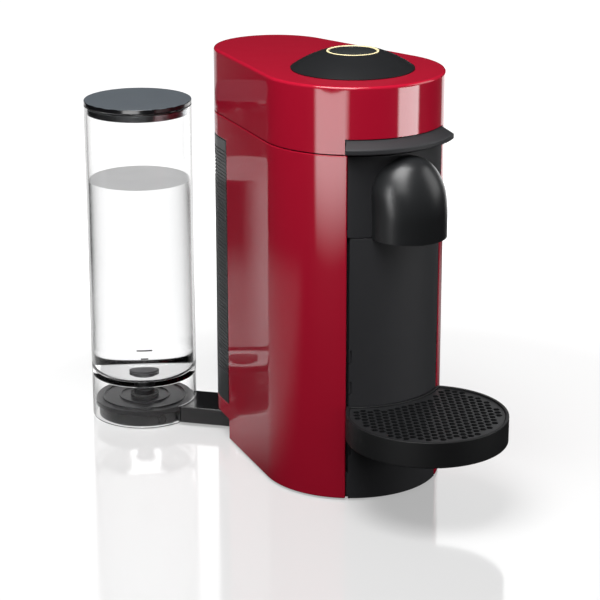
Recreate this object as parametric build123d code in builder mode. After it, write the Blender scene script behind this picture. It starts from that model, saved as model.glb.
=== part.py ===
from build123d import *
import os
from math import asin, atan2, ceil, cos, degrees, pi, radians, sin, sqrt, tan

# Capsule espresso machine with a tilting head and a water tank on a swivel arm.
# Millimetres, +Z up. The origin is on the table under the round front, and the front faces -Y.

# Clearances
seat_gap = 0.3
run_gap = 0.6
fit_gap = 0.05

# Housing plan and heights
front_radius = 69.0
rear_radius = 48.5
axis_spacing = 105.0
shell_wall = 3.0
shell_bottom = 1.5
body_top = 266.0
seam_gap = 1.0
head_height = 49.0
head_rim_round = 2.2
seam_round = 0.8

# Base, feet and arm slot
slot_height = 18.0
base_thickness = 3.0
plinth_wall = 3.0
foot_radius = 8.0
foot_height = 4.0
foot_inset = 15.0
foot_spread = 42.0
strip_width = 8.0
strip_margin = 9.0
strip_half_angle = 100.0
plinth_setback = 5.0

# Front panels
panel_half_angle = 37.5
channel_width = 2.1
channel_depth = 6.0
panel_wall = 3.0
panel_split = 205.0
notch_height = 10.0
notch_depth = 2.2

# Spout cover and coffee outlet
nose_radius = 28.0
nose_offset = 3.5
nose_straight = 16.0
nose_length = 59.0
nose_tip_radius = 20.0
nose_wall = 2.5
outlet_radius = 5.5
outlet_bore = 4.2
outlet_reach = 11.0
outlet_rise = 17.0
outlet_bend = 10.0

# Chassis and used-capsule container
partition_y = 57.0
partition_wall = 3.0
shelf_wall = 3.0
lower_band = 13.0
upper_band = 18.0
window_lead = 17.0
container_half_width = 43.0
container_wall = 2.5
fascia_wall = 3.0
rib_pitch = 2.8
rib_height = 1.4
rib_depth = 0.7
rib_start = 25.0
rib_end = 4.0
grip_height = 21.0
grip_width = 13.0
grip_drop = 26.0
grip_angle = 62.0
grip_depth = 3.5
grip_pad = 6.5

# Top deck and brew unit
deck_thickness = 6.0
deck_drop = 1.5
drum_radius = 40.0
drum_wall = 3.0
drum_depth = 46.0
drum_cavity_radius = 33.0
deck_hole_gap = 3.0
bowl_radius = 50.0
bowl_wall = 2.5
bowl_depth = 50.0
hub_radius = 16.0
hub_length = 12.0
bearing_radius = 11.0
bearing_width = 7.0
shaft_radius = 4.0
motor_radius = 26.0
motor_length = 50.0
motor_round = 3.0
motor_slots = 8
motor_slot_width = 6.5
motor_slot_depth = 1.5
motor_slot_height = 12.5
chute_half_width = 34.0
chute_length = 46.0

# Head hinge and its drive
hinge_inset = 10.5
hinge_rise = 5.0
hinge_pin_radius = 2.0
lug_radius = 4.0
lug_width = 5.0
lug_gap = 0.4
ear_rake = 1.5
sector_width = 6.0
head_opening = 22.0
gear_module = 1.2
sector_teeth = 34
pinion_teeth = 10
mesh_angle = 45.0
tooth_share = 0.35
tooth_flank = 20.0
tooth_root = 1.25
tooth_tip = 0.8
opening_motor_radius = 9.0
opening_motor_length = 30.0
pinion_shaft_radius = 1.5

# Head frame, injector and capsule clamp
frame_lift = 1.0
frame_thickness = 3.0
injector_radius = 20.0
injector_flange = 26.0
injector_height = 26.0
stem_radius = 8.0
stem_flange = 1.5
stem_flange_height = 1.8
injector_flange_height = 3.0
clamp_radius = 38.0
clamp_thickness = 2.6
clamp_holes = 12
clamp_hole_radius = 3.0
needle_radius = 1.2
needle_length = 7.0

# Lever
lever_half_angle = 38.5
lever_reach = 9.0
lever_root = 9.0
lever_thickness = 10.0
lever_slope = 5.0
lever_round = 1.0
lever_chin = 1.25
lever_gap = 0.8
lever_pivot_radius = 54.0
lever_barrel_radius = 3.2
lever_barrel_half = 8.0
lever_pin_radius = 1.5
lever_lug_width = 4.0

# Dome, light ring and brew button
dome_radius = 46.0
dome_hole_radius = 44.0
dome_height = 13.0
dome_edge = 0.8
dome_bulge = 0.7
dome_wall = 2.4
dome_skirt = 7.0
ring_outer = 19.4
ring_width = 1.5
ring_height = 5.0
button_rise = 1.6
button_wall = 2.0
button_height = 11.0
button_travel = 1.5
board_thickness = 1.6
board_radius = 34.0
board_drop = 14.4
board_posts = 3
board_post_radius = 2.4
board_post_inset = 3.0
board_lights = 3
switch_radius = 3.0
switch_height = 2.75

# Cup support and drip grid
tray_radius = 60.0
tray_centre = 99.5
tray_top = 76.0
tray_height = 19.5
tray_wall = 2.6
tray_floor = 2.5
ledge_width = 2.4
grid_thickness = 2.0
grid_sink = 0.9
hex_pitch = 6.0
hex_bar = 1.3
hook_width = 1.1
hook_height = 16.0
tray_step = 24.0

# Swivel arm and water tank
arm_length = 114.0
arm_angle = 43.0
arm_half_width = 20.0
arm_bottom = 2.5
arm_height = 14.0
arm_wall = 2.5
arm_hub_radius = 24.0
arm_foot_radius = 5.0
arm_foot_ring = 28.0
arm_foot_count = 3
swivel_radius = 6.0
swivel_bore = 3.5
swivel_flange = 12.0
tank_radius = 43.0
tank_wall = 2.0
tank_bottom = 3.0
tank_top = 264.2
tank_floor = 38.0
tank_floor_wall = 2.5
seat_thickness = 4.0
seat_overhang = 2.4
valve_radius = 9.0
valve_height = 7.0
valve_bore = 3.0
seal_section = 1.2
lid_thickness = 3.6
lid_round = 1.2
band_height = 7.0
band_wall = 1.8
lid_skirt_wall = 2.0
seal_height = 2.0

# Water circuit and electrics
pump_length = 76.0
pump_coil = 34.0
pump_radius = 9.0
pump_y = -12.0
mount_width = 8.0
mount_length = 30.0
saddle_dip = 3.0
spigot_radius = 2.2
spigot_length = 6.0
hose_radius = 2.5
hose_bore = 1.5
hose_bend = 7.0
hose_lane = 57.5
meter_radius = 8.0
meter_height = 14.0
heater_width = 64.0
heater_depth = 42.0
heater_height = 34.0
heater_spread = 32.0
main_board_width = 76.0
main_board_height = 50.0
main_board_gap = 4.4
relay_size = 9.0
relay_length = 13.5
relay_rows = 2
relay_columns = 3
standoff_radius = 3.0
heater_chamfer = 3.0
board_rise = 27.0
gland_radius = 5.0
gland_bore = 3.1
gland_angle = -60.0
gland_lip = 1.5
screw_radius = 1.75
screw_head_radius = 3.4
screw_head = 2.4
screw_length = 7.0
screw_slot = 4.8
screw_slot_width = 0.6
screw_slot_depth = 1.2
boss_radius = 5.0
screw_spread = 20.0

# Heights and places that follow from the sizes above
taper = asin((front_radius - rear_radius) / axis_spacing)
window_y = axis_spacing + rear_radius * sin(taper) - window_lead
rear_y = axis_spacing + rear_radius
head_bottom = body_top + seam_gap
head_top = head_bottom + head_height
inner = shell_wall + seat_gap
base_top = slot_height + base_thickness
container_floor = slot_height + lower_band
container_top = body_top - upper_band
deck_top = body_top - deck_drop
deck_bottom = deck_top - deck_thickness
hinge_y = rear_y - hinge_inset
hinge_z = head_bottom + hinge_rise
frame_bottom = head_bottom + frame_lift
frame_top = frame_bottom + frame_thickness
bowl_top = deck_bottom - seat_gap
bowl_bottom = bowl_top - bowl_depth
hub_bottom = bowl_bottom - hub_length
channel_angle = degrees(channel_width / front_radius)
nose_y = -(front_radius + nose_offset)
outlet_y = nose_y - outlet_reach
outlet_z = panel_split + outlet_rise

os.makedirs("parts", exist_ok=True)


def front_point(radius, angle):
    """Point on a circle about the origin, at an angle to the right of straight ahead."""
    return (radius * sin(radians(angle)), -radius * cos(radians(angle)))


def egg_face(inset):
    """Plan of the housing: a large front round and a small rear round with straight flanks."""
    front = front_radius - inset
    rear = rear_radius - inset
    across = cos(taper)
    along = sin(taper)
    with BuildSketch(Plane.XY) as plan:
        with BuildLine():
            front_arc = ThreePointArc(
                (front * across, front * along), (0, -front), (-front * across, front * along)
            )
            flank = Line(front_arc @ 1, (-rear * across, axis_spacing + rear * along))
            rear_arc = ThreePointArc(
                flank @ 1, (0, axis_spacing + rear), (rear * across, axis_spacing + rear * along)
            )
            Line(rear_arc @ 1, front_arc @ 0)
        make_face()
    return plan.sketch


def front_sector(outer, inner_radius, start, stop):
    """Ring sector about the origin between two angles measured from straight ahead."""
    middle = (start + stop) / 2
    with BuildSketch(Plane.XY) as area:
        with BuildLine():
            rim = ThreePointArc(
                front_point(outer, start), front_point(outer, middle), front_point(outer, stop)
            )
            side = Line(rim @ 1, front_point(inner_radius, stop))
            back = ThreePointArc(
                side @ 1, front_point(inner_radius, middle), front_point(inner_radius, start)
            )
            Line(back @ 1, rim @ 0)
        make_face()
    return area.sketch


def strip(width, low, high):
    """Rectangle centred on the Y axis that runs from a low to a high Y."""
    with BuildSketch(Plane.XY) as area:
        with Locations((0, (low + high) / 2)):
            Rectangle(width, high - low)
    return area.sketch


def upright(y):
    """Vertical drawing plane across the machine: local X is X, local Y is Z."""
    return Plane(origin=(0, y, 0), x_dir=(1, 0, 0), z_dir=(0, -1, 0))


def hose(points, bend):
    """Round hose with a bore along straight runs joined by bends."""
    with BuildPart() as tube:
        with BuildLine() as route:
            if len(points) > 2:
                FilletPolyline(*points, radius=bend)
            else:
                Line(*points)
        with BuildSketch(Plane(origin=route.line @ 0, z_dir=route.line % 0)):
            Circle(hose_radius)
            Circle(hose_bore, mode=Mode.SUBTRACT)
        sweep()
    return tube.part


def gear_face(teeth, first_angle, count):
    """Gear teeth round the origin, drawn as tapered bars on a root circle."""
    pitch_radius = gear_module * teeth / 2
    root = pitch_radius - tooth_root * gear_module
    tip = pitch_radius + tooth_tip * gear_module
    half = pi * gear_module * tooth_share / 2
    slope = tan(radians(tooth_flank))
    half_root = half + (pitch_radius - root) * slope
    half_tip = half - (tip - pitch_radius) * slope
    overlap = gear_module
    with BuildSketch(Plane.XY) as face:
        Circle(root)
        for index in range(count):
            with BuildSketch(Plane.XY, mode=Mode.PRIVATE) as tooth:
                with BuildLine():
                    Polyline(
                        (root - overlap, -half_root),
                        (root, -half_root),
                        (tip, -half_tip),
                        (tip, half_tip),
                        (root, half_root),
                        (root - overlap, half_root),
                        close=True,
                    )
                make_face()
            add(tooth.sketch, rotation=first_angle + index * 360 / teeth)
    return face.sketch


def save(piece, name):
    """Label a finished piece and write it as a STEP file."""
    piece.label = name
    export_step(piece, f"parts/{name}.step")


# Base plate with a hollow plinth under the front and a thrust pad for the arm
plinth_end = axis_spacing - arm_hub_radius - run_gap - plinth_setback
foot_places = [(side * foot_spread, plinth_end - foot_inset) for side in (-1, 1)]
strip_outer = front_radius - strip_margin
strip_inner = strip_outer - strip_width
flange_outer = front_radius - inner - plinth_wall / 2
flange_inner = strip_inner - plinth_wall
plinth_bottom = shell_bottom + seat_gap
foot_seat = foot_height - seat_gap
arm_top = arm_bottom + arm_height
boss_lap = boss_radius - partition_wall / 3
screw_places = [(side * screw_spread, partition_y - boss_lap) for side in (-1, 1)]
screw_places += [(side * screw_spread, partition_y + partition_wall + boss_lap) for side in (-1, 1)]
with BuildPart() as base_plate:
    with BuildSketch(Plane.XY.offset(slot_height)):
        add(egg_face(inner))
    extrude(amount=base_thickness)
    with BuildSketch(Plane.XY.offset(plinth_bottom)):
        add(egg_face(inner))
        add(strip(4 * front_radius, -2 * front_radius, plinth_end), mode=Mode.INTERSECT)
        add(egg_face(inner + plinth_wall), mode=Mode.SUBTRACT)
    extrude(amount=slot_height - plinth_bottom)
    with BuildSketch(Plane.XY.offset(plinth_bottom)):
        add(egg_face(inner))
        add(strip(4 * front_radius, plinth_end - plinth_wall, plinth_end), mode=Mode.INTERSECT)
    extrude(amount=slot_height - plinth_bottom)
    with BuildSketch(Plane.XY.offset(foot_seat)):
        with Locations(*foot_places):
            Circle(foot_radius + plinth_wall)
    extrude(amount=slot_height - foot_seat)
    with BuildSketch(Plane.XY.offset(plinth_bottom)):
        with Locations(*foot_places):
            Circle(foot_radius + plinth_wall)
            Circle(foot_radius + seat_gap, mode=Mode.SUBTRACT)
    extrude(amount=foot_seat - plinth_bottom)
    with BuildSketch(Plane.XY.offset(foot_seat)):
        add(front_sector(flange_outer, flange_inner, -strip_half_angle, strip_half_angle))
    extrude(amount=plinth_wall)
    with BuildSketch(Plane.XY.offset(arm_top + seat_gap)):
        with Locations((0, axis_spacing)):
            Circle(swivel_flange)
    extrude(amount=slot_height - arm_top - seat_gap)
    with Locations((0, axis_spacing, base_top)):
        Hole(swivel_radius + fit_gap)
    with Locations(*[(x, y, base_top) for x, y in screw_places]):
        Hole(screw_radius + fit_gap)
save(base_plate.part, "base_plate")

# Rubber feet under the plinth: a curved strip in front and two round pads behind
with BuildPart() as base_feet:
    with BuildSketch():
        add(front_sector(strip_outer, strip_inner, -strip_half_angle, strip_half_angle))
        with Locations(*foot_places):
            Circle(foot_radius)
    extrude(amount=foot_seat)
save(base_feet.part, "base_feet")

# Hollow swivel pin that carries the arm and leads the water upwards
elbow_top = base_top + 2 * hose_radius + 2 * seat_gap
suction_z = base_top + hose_radius + seat_gap
with BuildPart() as swivel_pin:
    with BuildSketch(upright(axis_spacing)):
        with BuildLine():
            Polyline(
                (0, arm_bottom - run_gap - seat_gap),
                (swivel_flange, arm_bottom - run_gap - seat_gap),
                (swivel_flange, arm_bottom - seat_gap),
                (swivel_radius, arm_bottom - seat_gap),
                (swivel_radius, elbow_top),
                (0, elbow_top),
                close=True,
            )
        make_face()
    revolve(axis=Axis((0, axis_spacing, 0), (0, 0, 1)))
    with BuildSketch(upright(axis_spacing)):
        with Locations((0, suction_z)):
            Circle(spigot_radius)
    extrude(amount=swivel_radius + spigot_length)
    with BuildSketch(Plane.XY.offset(arm_bottom + arm_wall)):
        with Locations((0, axis_spacing)):
            Circle(swivel_bore)
    extrude(amount=suction_z - arm_bottom - arm_wall, mode=Mode.SUBTRACT)
save(swivel_pin.part, "swivel_pin")

# Red body shell, open at the front for the panels and at the rear for the container and the arm
gland_z = slot_height + lower_band / 2
gland_plane = Plane(
    origin=(0, axis_spacing, gland_z),
    x_dir=(cos(radians(gland_angle)), sin(radians(gland_angle)), 0),
    z_dir=(-sin(radians(gland_angle)), cos(radians(gland_angle)), 0),
)
with BuildPart() as body_shell:
    with BuildSketch(Plane.XY.offset(shell_bottom)):
        add(egg_face(0))
    extrude(amount=body_top - shell_bottom)
    fillet(body_shell.faces().sort_by(Axis.Z)[-1].outer_wire().edges(), seam_round)
    with BuildSketch(Plane.XY.offset(shell_bottom)):
        add(egg_face(shell_wall))
    extrude(amount=body_top - shell_bottom, mode=Mode.SUBTRACT)
    with BuildSketch(Plane.XY.offset(shell_bottom)):
        add(front_sector(front_radius + shell_wall, front_radius / 2, -panel_half_angle, panel_half_angle))
    extrude(amount=body_top - shell_bottom, mode=Mode.SUBTRACT)
    with BuildSketch(Plane.XY.offset(container_floor)):
        add(strip(2 * front_radius, window_y, rear_y + shell_wall))
    extrude(amount=container_top - container_floor, mode=Mode.SUBTRACT)
    with BuildSketch(Plane.XY.offset(shell_bottom)):
        add(strip(2 * front_radius, window_y, rear_y + shell_wall))
    extrude(amount=slot_height - shell_bottom, mode=Mode.SUBTRACT)
    with BuildSketch(gland_plane):
        Circle(gland_radius - gland_lip)
    extrude(amount=rear_radius + shell_wall, mode=Mode.SUBTRACT)
save(body_shell.part, "body_shell")

# Grommet of the mains lead in the rear band
with BuildPart() as cord_gland:
    with BuildSketch(gland_plane.offset(rear_radius - shell_wall - gland_lip)):
        Circle(gland_radius - gland_lip - seat_gap)
    extrude(amount=shell_wall + 2 * gland_lip)
    with BuildSketch(gland_plane.offset(rear_radius + seat_gap)):
        Circle(gland_radius)
    extrude(amount=gland_lip)
    with BuildSketch(gland_plane.offset(rear_radius - 2 * shell_wall)):
        Circle(gland_bore - gland_lip / 2)
    extrude(amount=4 * shell_wall, mode=Mode.SUBTRACT)
save(cord_gland.part, "cord_gland")

# Lower front panel with the side channels and the rest notches of the cup support
panel_bottom = shell_bottom + seat_gap
panel_edge = panel_half_angle - channel_angle
channel_floor = front_radius - channel_depth
web_angle = degrees(panel_wall / front_radius)
lap_edge = panel_half_angle + 2 * channel_angle
notch_edge = panel_edge - degrees(notch_depth / front_radius)
notch_heights = [tray_top - tray_height / 2 + tray_step * step for step in (-1, 1, 2)]
with BuildPart() as front_panel:
    with BuildSketch(Plane.XY.offset(panel_bottom)):
        add(front_sector(front_radius, front_radius - panel_wall, -panel_edge, panel_edge))
        for side in (-1, 1):
            edges = sorted((side * panel_edge, side * (panel_edge - web_angle)))
            add(front_sector(front_radius - panel_wall / 2, channel_floor - panel_wall, *edges))
            lap = sorted((side * (panel_edge - web_angle / 2), side * lap_edge))
            add(front_sector(channel_floor, channel_floor - panel_wall, *lap))
    extrude(amount=panel_split - seat_gap - panel_bottom)
    for side in (-1, 1):
        for height in notch_heights:
            with BuildSketch(Plane.XY.offset(height - notch_height / 2)):
                edges = sorted((side * panel_half_angle, side * notch_edge))
                add(front_sector(front_radius + panel_wall, front_radius - panel_wall / 2, *edges))
            extrude(amount=notch_height, mode=Mode.SUBTRACT)
    with BuildSketch(Plane.XY.offset(slot_height - seat_gap)):
        add(egg_face(inner - seat_gap / 2))
        add(strip(4 * front_radius, -2 * front_radius, 0), mode=Mode.INTERSECT)
    extrude(amount=base_thickness + 2 * seat_gap, mode=Mode.SUBTRACT)
    with BuildSketch(Plane.XY.offset(panel_bottom)):
        add(egg_face(inner - seat_gap / 2))
    extrude(amount=slot_height - panel_bottom, mode=Mode.SUBTRACT)
save(front_panel.part, "front_panel")

# Upper front panel behind the spout cover
spout_edge = panel_half_angle - degrees(seat_gap / front_radius)
with BuildPart() as spout_panel:
    with BuildSketch(Plane.XY.offset(panel_split + seat_gap)):
        add(front_sector(front_radius, front_radius - panel_wall, -spout_edge, spout_edge))
    extrude(amount=body_top - panel_split - 2 * seat_gap)
    with BuildSketch(upright(0)):
        with Locations((0, outlet_z)):
            Circle(outlet_radius + seat_gap)
    extrude(amount=2 * front_radius, mode=Mode.SUBTRACT)
save(spout_panel.part, "spout_panel")


def nose_profile(inset):
    """Half outline of the spout cover: a straight skirt, a long flank arc and a tighter tip arc."""
    radius = nose_radius - inset
    straight = panel_split + nose_straight
    rise = nose_length - nose_straight - inset
    tip = nose_tip_radius - inset
    tip_z = rise - tip
    flank = (radius**2 + tip_z**2 - tip**2) / (2 * (radius - tip))
    join = atan2(tip_z, flank - radius)
    flank_mid = (radius - flank + flank * cos(join / 2), straight + flank * sin(join / 2))
    join_point = (radius - flank + flank * cos(join), straight + flank * sin(join))
    tip_turn = (join + pi / 2) / 2
    tip_mid = (tip * cos(tip_turn), straight + tip_z + tip * sin(tip_turn))
    with BuildSketch(Plane.XY) as half:
        with BuildLine():
            Polyline((0, straight + rise), (0, panel_split), (radius, panel_split), (radius, straight))
            ThreePointArc((radius, straight), flank_mid, join_point)
            ThreePointArc(join_point, tip_mid, (0, straight + rise))
        make_face()
    return half.sketch


# Spout cover, a hollow bullet shape cut to the round of the panel
nose_axis = Axis((0, nose_y, 0), (0, 0, 1))
with BuildPart() as spout_cover:
    with BuildSketch(upright(nose_y)):
        add(nose_profile(0))
    revolve(axis=nose_axis)
    with BuildSketch(upright(nose_y)):
        add(nose_profile(nose_wall))
    revolve(axis=nose_axis, mode=Mode.SUBTRACT)
    with BuildSketch(Plane.XY.offset(panel_split)):
        with Locations((0, nose_y)):
            Circle(nose_radius - nose_wall / 2)
    extrude(amount=nose_wall)
    with BuildSketch(Plane.XY.offset(panel_split)):
        with Locations((0, outlet_y)):
            Circle(outlet_radius + seat_gap)
    extrude(amount=nose_wall, mode=Mode.SUBTRACT)
    with BuildSketch(Plane.XY.offset(panel_split)):
        Circle(front_radius + seat_gap / 2)
    extrude(amount=nose_length, mode=Mode.SUBTRACT)
save(spout_cover.part, "spout_cover")

# Coffee outlet from the bowl through the panel and down inside the cover
with BuildPart() as coffee_outlet:
    with BuildLine() as outlet_route:
        FilletPolyline(
            (0, -bowl_radius - seat_gap, outlet_z),
            (0, outlet_y, outlet_z),
            (0, outlet_y, panel_split - seat_gap),
            radius=outlet_bend,
        )
    with BuildSketch(Plane(origin=outlet_route.line @ 0, z_dir=outlet_route.line % 0)):
        Circle(outlet_radius)
        Circle(outlet_bore, mode=Mode.SUBTRACT)
    sweep()
save(coffee_outlet.part, "coffee_outlet")

# Chassis: cross wall, container shelf, heater shelf and board standoffs
shelf_top = container_floor - seat_gap
shelf_inset = inner + 2 * gland_lip + seat_gap
partition_rear = partition_y + partition_wall
pump_z = base_top + mount_width + pump_coil / 2
heater_shelf_z = pump_z + pump_coil / 2 + 2 * shelf_wall
heater_z = heater_shelf_z + shelf_wall
heater_front = partition_y - heater_depth - 2 * seat_gap
main_board_z = heater_z + heater_height + board_rise
standoff_places = [
    (x * (main_board_width / 2 - relay_size / 2), main_board_z + z * (main_board_height - relay_size) / 2)
    for x in (-1, 1)
    for z in (-1, 1)
]
with BuildPart() as chassis:
    with BuildSketch(Plane.XY.offset(base_top)):
        add(egg_face(inner))
        add(strip(4 * front_radius, partition_y, partition_rear), mode=Mode.INTERSECT)
    extrude(amount=deck_bottom - base_top)
    with BuildSketch(Plane.XY.offset(shelf_top - shelf_wall)):
        add(egg_face(shelf_inset))
        add(strip(4 * front_radius, partition_y, 2 * rear_y), mode=Mode.INTERSECT)
    extrude(amount=shelf_wall)
    with BuildSketch(Plane.XY.offset(base_top)):
        with Locations(*screw_places):
            Circle(boss_radius)
    extrude(amount=shelf_top - base_top)
    with BuildSketch(Plane.XY.offset(heater_shelf_z)):
        add(strip(heater_width + 2 * shelf_wall, heater_front, partition_y + shelf_wall))
    extrude(amount=shelf_wall)
    with BuildSketch(Plane.XY.offset(heater_shelf_z - 2 * shelf_wall)):
        for side in (-1, 1):
            with Locations((side * heater_width / 2, partition_y - heater_depth / 4)):
                Rectangle(shelf_wall, heater_depth / 2 + shelf_wall)
    extrude(amount=2 * shelf_wall)
    with BuildSketch(upright(partition_y)):
        with Locations(*standoff_places):
            Circle(standoff_radius)
    extrude(amount=main_board_gap)
    with BuildSketch(upright(partition_rear)):
        with Locations((0, suction_z)):
            Circle(hose_radius + seat_gap)
        with Locations((0, base_top)):
            Rectangle(2 * (hose_radius + seat_gap), 2 * (suction_z - base_top))
    extrude(amount=partition_wall, mode=Mode.SUBTRACT)
    with BuildSketch(Plane.XY.offset(base_top)):
        with Locations(*screw_places):
            Circle(screw_radius + fit_gap)
    extrude(amount=screw_length, mode=Mode.SUBTRACT)
save(chassis.part, "chassis")

# Screws that hold the chassis to the base plate
with BuildPart() as base_screws:
    with BuildSketch(Plane.XY.offset(slot_height - screw_head)):
        with Locations(*screw_places):
            Circle(screw_head_radius)
    extrude(amount=screw_head)
    with BuildSketch(Plane.XY.offset(slot_height)):
        with Locations(*screw_places):
            Circle(screw_radius)
    extrude(amount=base_thickness + screw_length - seat_gap)
    with BuildSketch(Plane.XY.offset(slot_height - screw_head)):
        with Locations(*screw_places):
            Rectangle(screw_slot, screw_slot_width)
            Rectangle(screw_slot_width, screw_slot)
    extrude(amount=screw_slot_depth, mode=Mode.SUBTRACT)
save(base_screws.part, "base_screws")

# Top deck with the drum hole, the chute to the container and the hinge ears
sector_half = sector_width / 2
head_lug_start = sector_half + lug_gap
head_lug_end = head_lug_start + lug_width
ear_start = head_lug_end + lug_gap
ear_end = ear_start + lug_width
chute_start = partition_rear + 2 * seat_gap
deck_hole = drum_radius + deck_hole_gap
with BuildPart() as top_deck:
    with BuildSketch(Plane.XY.offset(deck_bottom)):
        add(egg_face(inner))
        Circle(deck_hole, mode=Mode.SUBTRACT)
        add(strip(2 * chute_half_width, chute_start, chute_start + chute_length), mode=Mode.SUBTRACT)
    extrude(amount=deck_thickness)
    for side in (-1, 1):
        with BuildSketch(Plane.YZ.offset(side * (ear_start + ear_end) / 2)):
            with Locations((hinge_y, hinge_z)):
                Circle(lug_radius)
            with BuildLine():
                Polyline(
                    (hinge_y - 2 * lug_radius, deck_top - seat_gap),
                    (hinge_y + lug_radius - ear_rake, deck_top - seat_gap),
                    (hinge_y + lug_radius, hinge_z),
                    (hinge_y - lug_radius, hinge_z),
                    close=True,
                )
            make_face()
        extrude(amount=lug_width / 2, both=True)
    with BuildSketch(Plane.YZ.offset(-ear_end)):
        with Locations((hinge_y, hinge_z)):
            Circle(hinge_pin_radius + fit_gap)
    extrude(amount=2 * ear_end, mode=Mode.SUBTRACT)
save(top_deck.part, "top_deck")

# Hinge pin
with BuildPart() as hinge_pin:
    with BuildSketch(Plane.YZ.offset(-ear_end)):
        with Locations((hinge_y, hinge_z)):
            Circle(hinge_pin_radius)
    extrude(amount=2 * ear_end)
save(hinge_pin.part, "hinge_pin")

# Fixed toothed sector on the hinge axis, footed on the deck
pitch_angle = 360 / sector_teeth
sector_first = 180 - mesh_angle - ceil((head_opening + 2 * pitch_angle) / pitch_angle) * pitch_angle
sector_count = ceil((head_opening + 4 * pitch_angle) / pitch_angle) + 1
sector_root = gear_module * (sector_teeth / 2 - tooth_root)
with BuildPart() as hinge_sector:
    with BuildSketch(Plane.YZ.offset(-sector_half)):
        with Locations((hinge_y, hinge_z)):
            add(gear_face(sector_teeth, sector_first, sector_count))
        with Locations((hinge_y + sector_root / 2 + lug_radius, hinge_z)):
            Rectangle(sector_root, 4 * sector_root, mode=Mode.SUBTRACT)
        with Locations((hinge_y, deck_top - 2 * sector_root)):
            Rectangle(4 * sector_root, 4 * sector_root, mode=Mode.SUBTRACT)
    extrude(amount=sector_width)
    with BuildSketch(Plane.YZ.offset(-sector_half)):
        with Locations((hinge_y, hinge_z)):
            Circle(hinge_pin_radius + fit_gap)
    extrude(amount=sector_width, mode=Mode.SUBTRACT)
save(hinge_sector.part, "hinge_sector")

# Brew bowl that catches the coffee thrown out of the spinning drum
bowl_inner = bowl_radius - bowl_wall
with BuildPart() as brew_bowl:
    with BuildSketch(Plane.XY.offset(bowl_bottom)):
        Circle(bowl_radius)
    extrude(amount=bowl_depth)
    with BuildSketch(Plane.XY.offset(bowl_bottom + bowl_wall)):
        Circle(bowl_inner)
    extrude(amount=bowl_depth, mode=Mode.SUBTRACT)
    with BuildSketch(Plane.XY.offset(hub_bottom)):
        Circle(hub_radius)
    extrude(amount=hub_length + bowl_wall)
    with BuildSketch(Plane.XY.offset(hub_bottom)):
        Circle(bearing_radius + fit_gap)
    extrude(amount=bearing_width + run_gap, mode=Mode.SUBTRACT)
    with BuildSketch(Plane.XY.offset(hub_bottom)):
        Circle(shaft_radius + run_gap)
    extrude(amount=2 * hub_length, mode=Mode.SUBTRACT)
    with BuildSketch(upright(0)):
        with Locations((0, outlet_z)):
            Circle(outlet_bore)
    extrude(amount=bowl_radius, mode=Mode.SUBTRACT)
save(brew_bowl.part, "brew_bowl")

# Bearing of the drum shaft
with BuildPart() as drum_bearing:
    with BuildSketch(Plane.XY.offset(hub_bottom + fit_gap)):
        Circle(bearing_radius)
        Circle(shaft_radius + fit_gap, mode=Mode.SUBTRACT)
    extrude(amount=bearing_width)
save(drum_bearing.part, "drum_bearing")

# Drive motor hung under the bowl
motor_top = hub_bottom - fit_gap
shaft_sink = motor_length / 2
with BuildPart() as drive_motor:
    with BuildSketch(Plane.XY.offset(motor_top - motor_length)):
        Circle(motor_radius)
    extrude(amount=motor_length)
    fillet(drive_motor.faces().sort_by(Axis.Z)[0].edges(), motor_round)
    with BuildSketch(Plane.XY.offset(motor_top - shaft_sink)):
        Circle(shaft_radius + fit_gap)
    extrude(amount=shaft_sink, mode=Mode.SUBTRACT)
    with BuildSketch(Plane.XY.offset(motor_top - motor_length / 2)):
        with PolarLocations(motor_radius, motor_slots):
            Rectangle(2 * motor_slot_depth, motor_slot_width)
    extrude(amount=motor_slot_height, mode=Mode.SUBTRACT)
save(drive_motor.part, "drive_motor")

# Capsule drum, a cup that spins the capsule
drum_top = deck_top - deck_drop
drum_bottom = drum_top - drum_depth
with BuildPart() as capsule_drum:
    with BuildSketch(Plane.XY.offset(drum_bottom)):
        Circle(drum_radius)
    extrude(amount=drum_depth)
    with BuildSketch(Plane.XY.offset(drum_bottom + 2 * drum_wall)):
        Circle(drum_cavity_radius)
    extrude(amount=drum_depth, mode=Mode.SUBTRACT)
    chamfer(capsule_drum.faces().sort_by(Axis.Z)[-1].inner_wires()[0].edges(), drum_wall)
    with BuildSketch(Plane.XY.offset(drum_bottom + drum_depth / 4)):
        Circle(drum_radius)
        Circle(drum_radius - drum_wall, mode=Mode.SUBTRACT)
    extrude(amount=drum_depth / 2, mode=Mode.SUBTRACT)
    with BuildSketch(Plane.XY.offset(drum_bottom)):
        Circle(shaft_radius + fit_gap)
    extrude(amount=drum_wall, mode=Mode.SUBTRACT)
save(capsule_drum.part, "capsule_drum")

# Shaft between the motor and the drum
with BuildPart() as drum_shaft:
    with BuildSketch(Plane.XY.offset(motor_top - shaft_sink + seat_gap)):
        Circle(shaft_radius)
    extrude(amount=drum_bottom + drum_wall - fit_gap - motor_top + shaft_sink - seat_gap)
save(drum_shaft.part, "drum_shaft")

# Used-capsule container with a ribbed fascia that closes the rear of the housing
container_front = partition_rear + run_gap
container_bottom = container_floor + seat_gap
fascia_y = window_y + run_gap
container_lid_z = container_top - run_gap
container_height = container_lid_z - container_bottom
fascia_inner = rear_radius - fascia_wall
box_rear = axis_spacing + sqrt(fascia_inner**2 - container_half_width**2) + container_wall / 2


def container_plan(box_inset, fascia_inset, fascia_start):
    """Plan of the container: a straight box in front and a fascia in line with the housing at the rear."""
    with BuildSketch(Plane.XY) as plan:
        add(egg_face(fascia_inset))
        add(strip(4 * front_radius, fascia_start, 2 * rear_y), mode=Mode.INTERSECT)
        add(strip(2 * (container_half_width - box_inset), container_front + box_inset, box_rear))
    return plan.sketch


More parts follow.
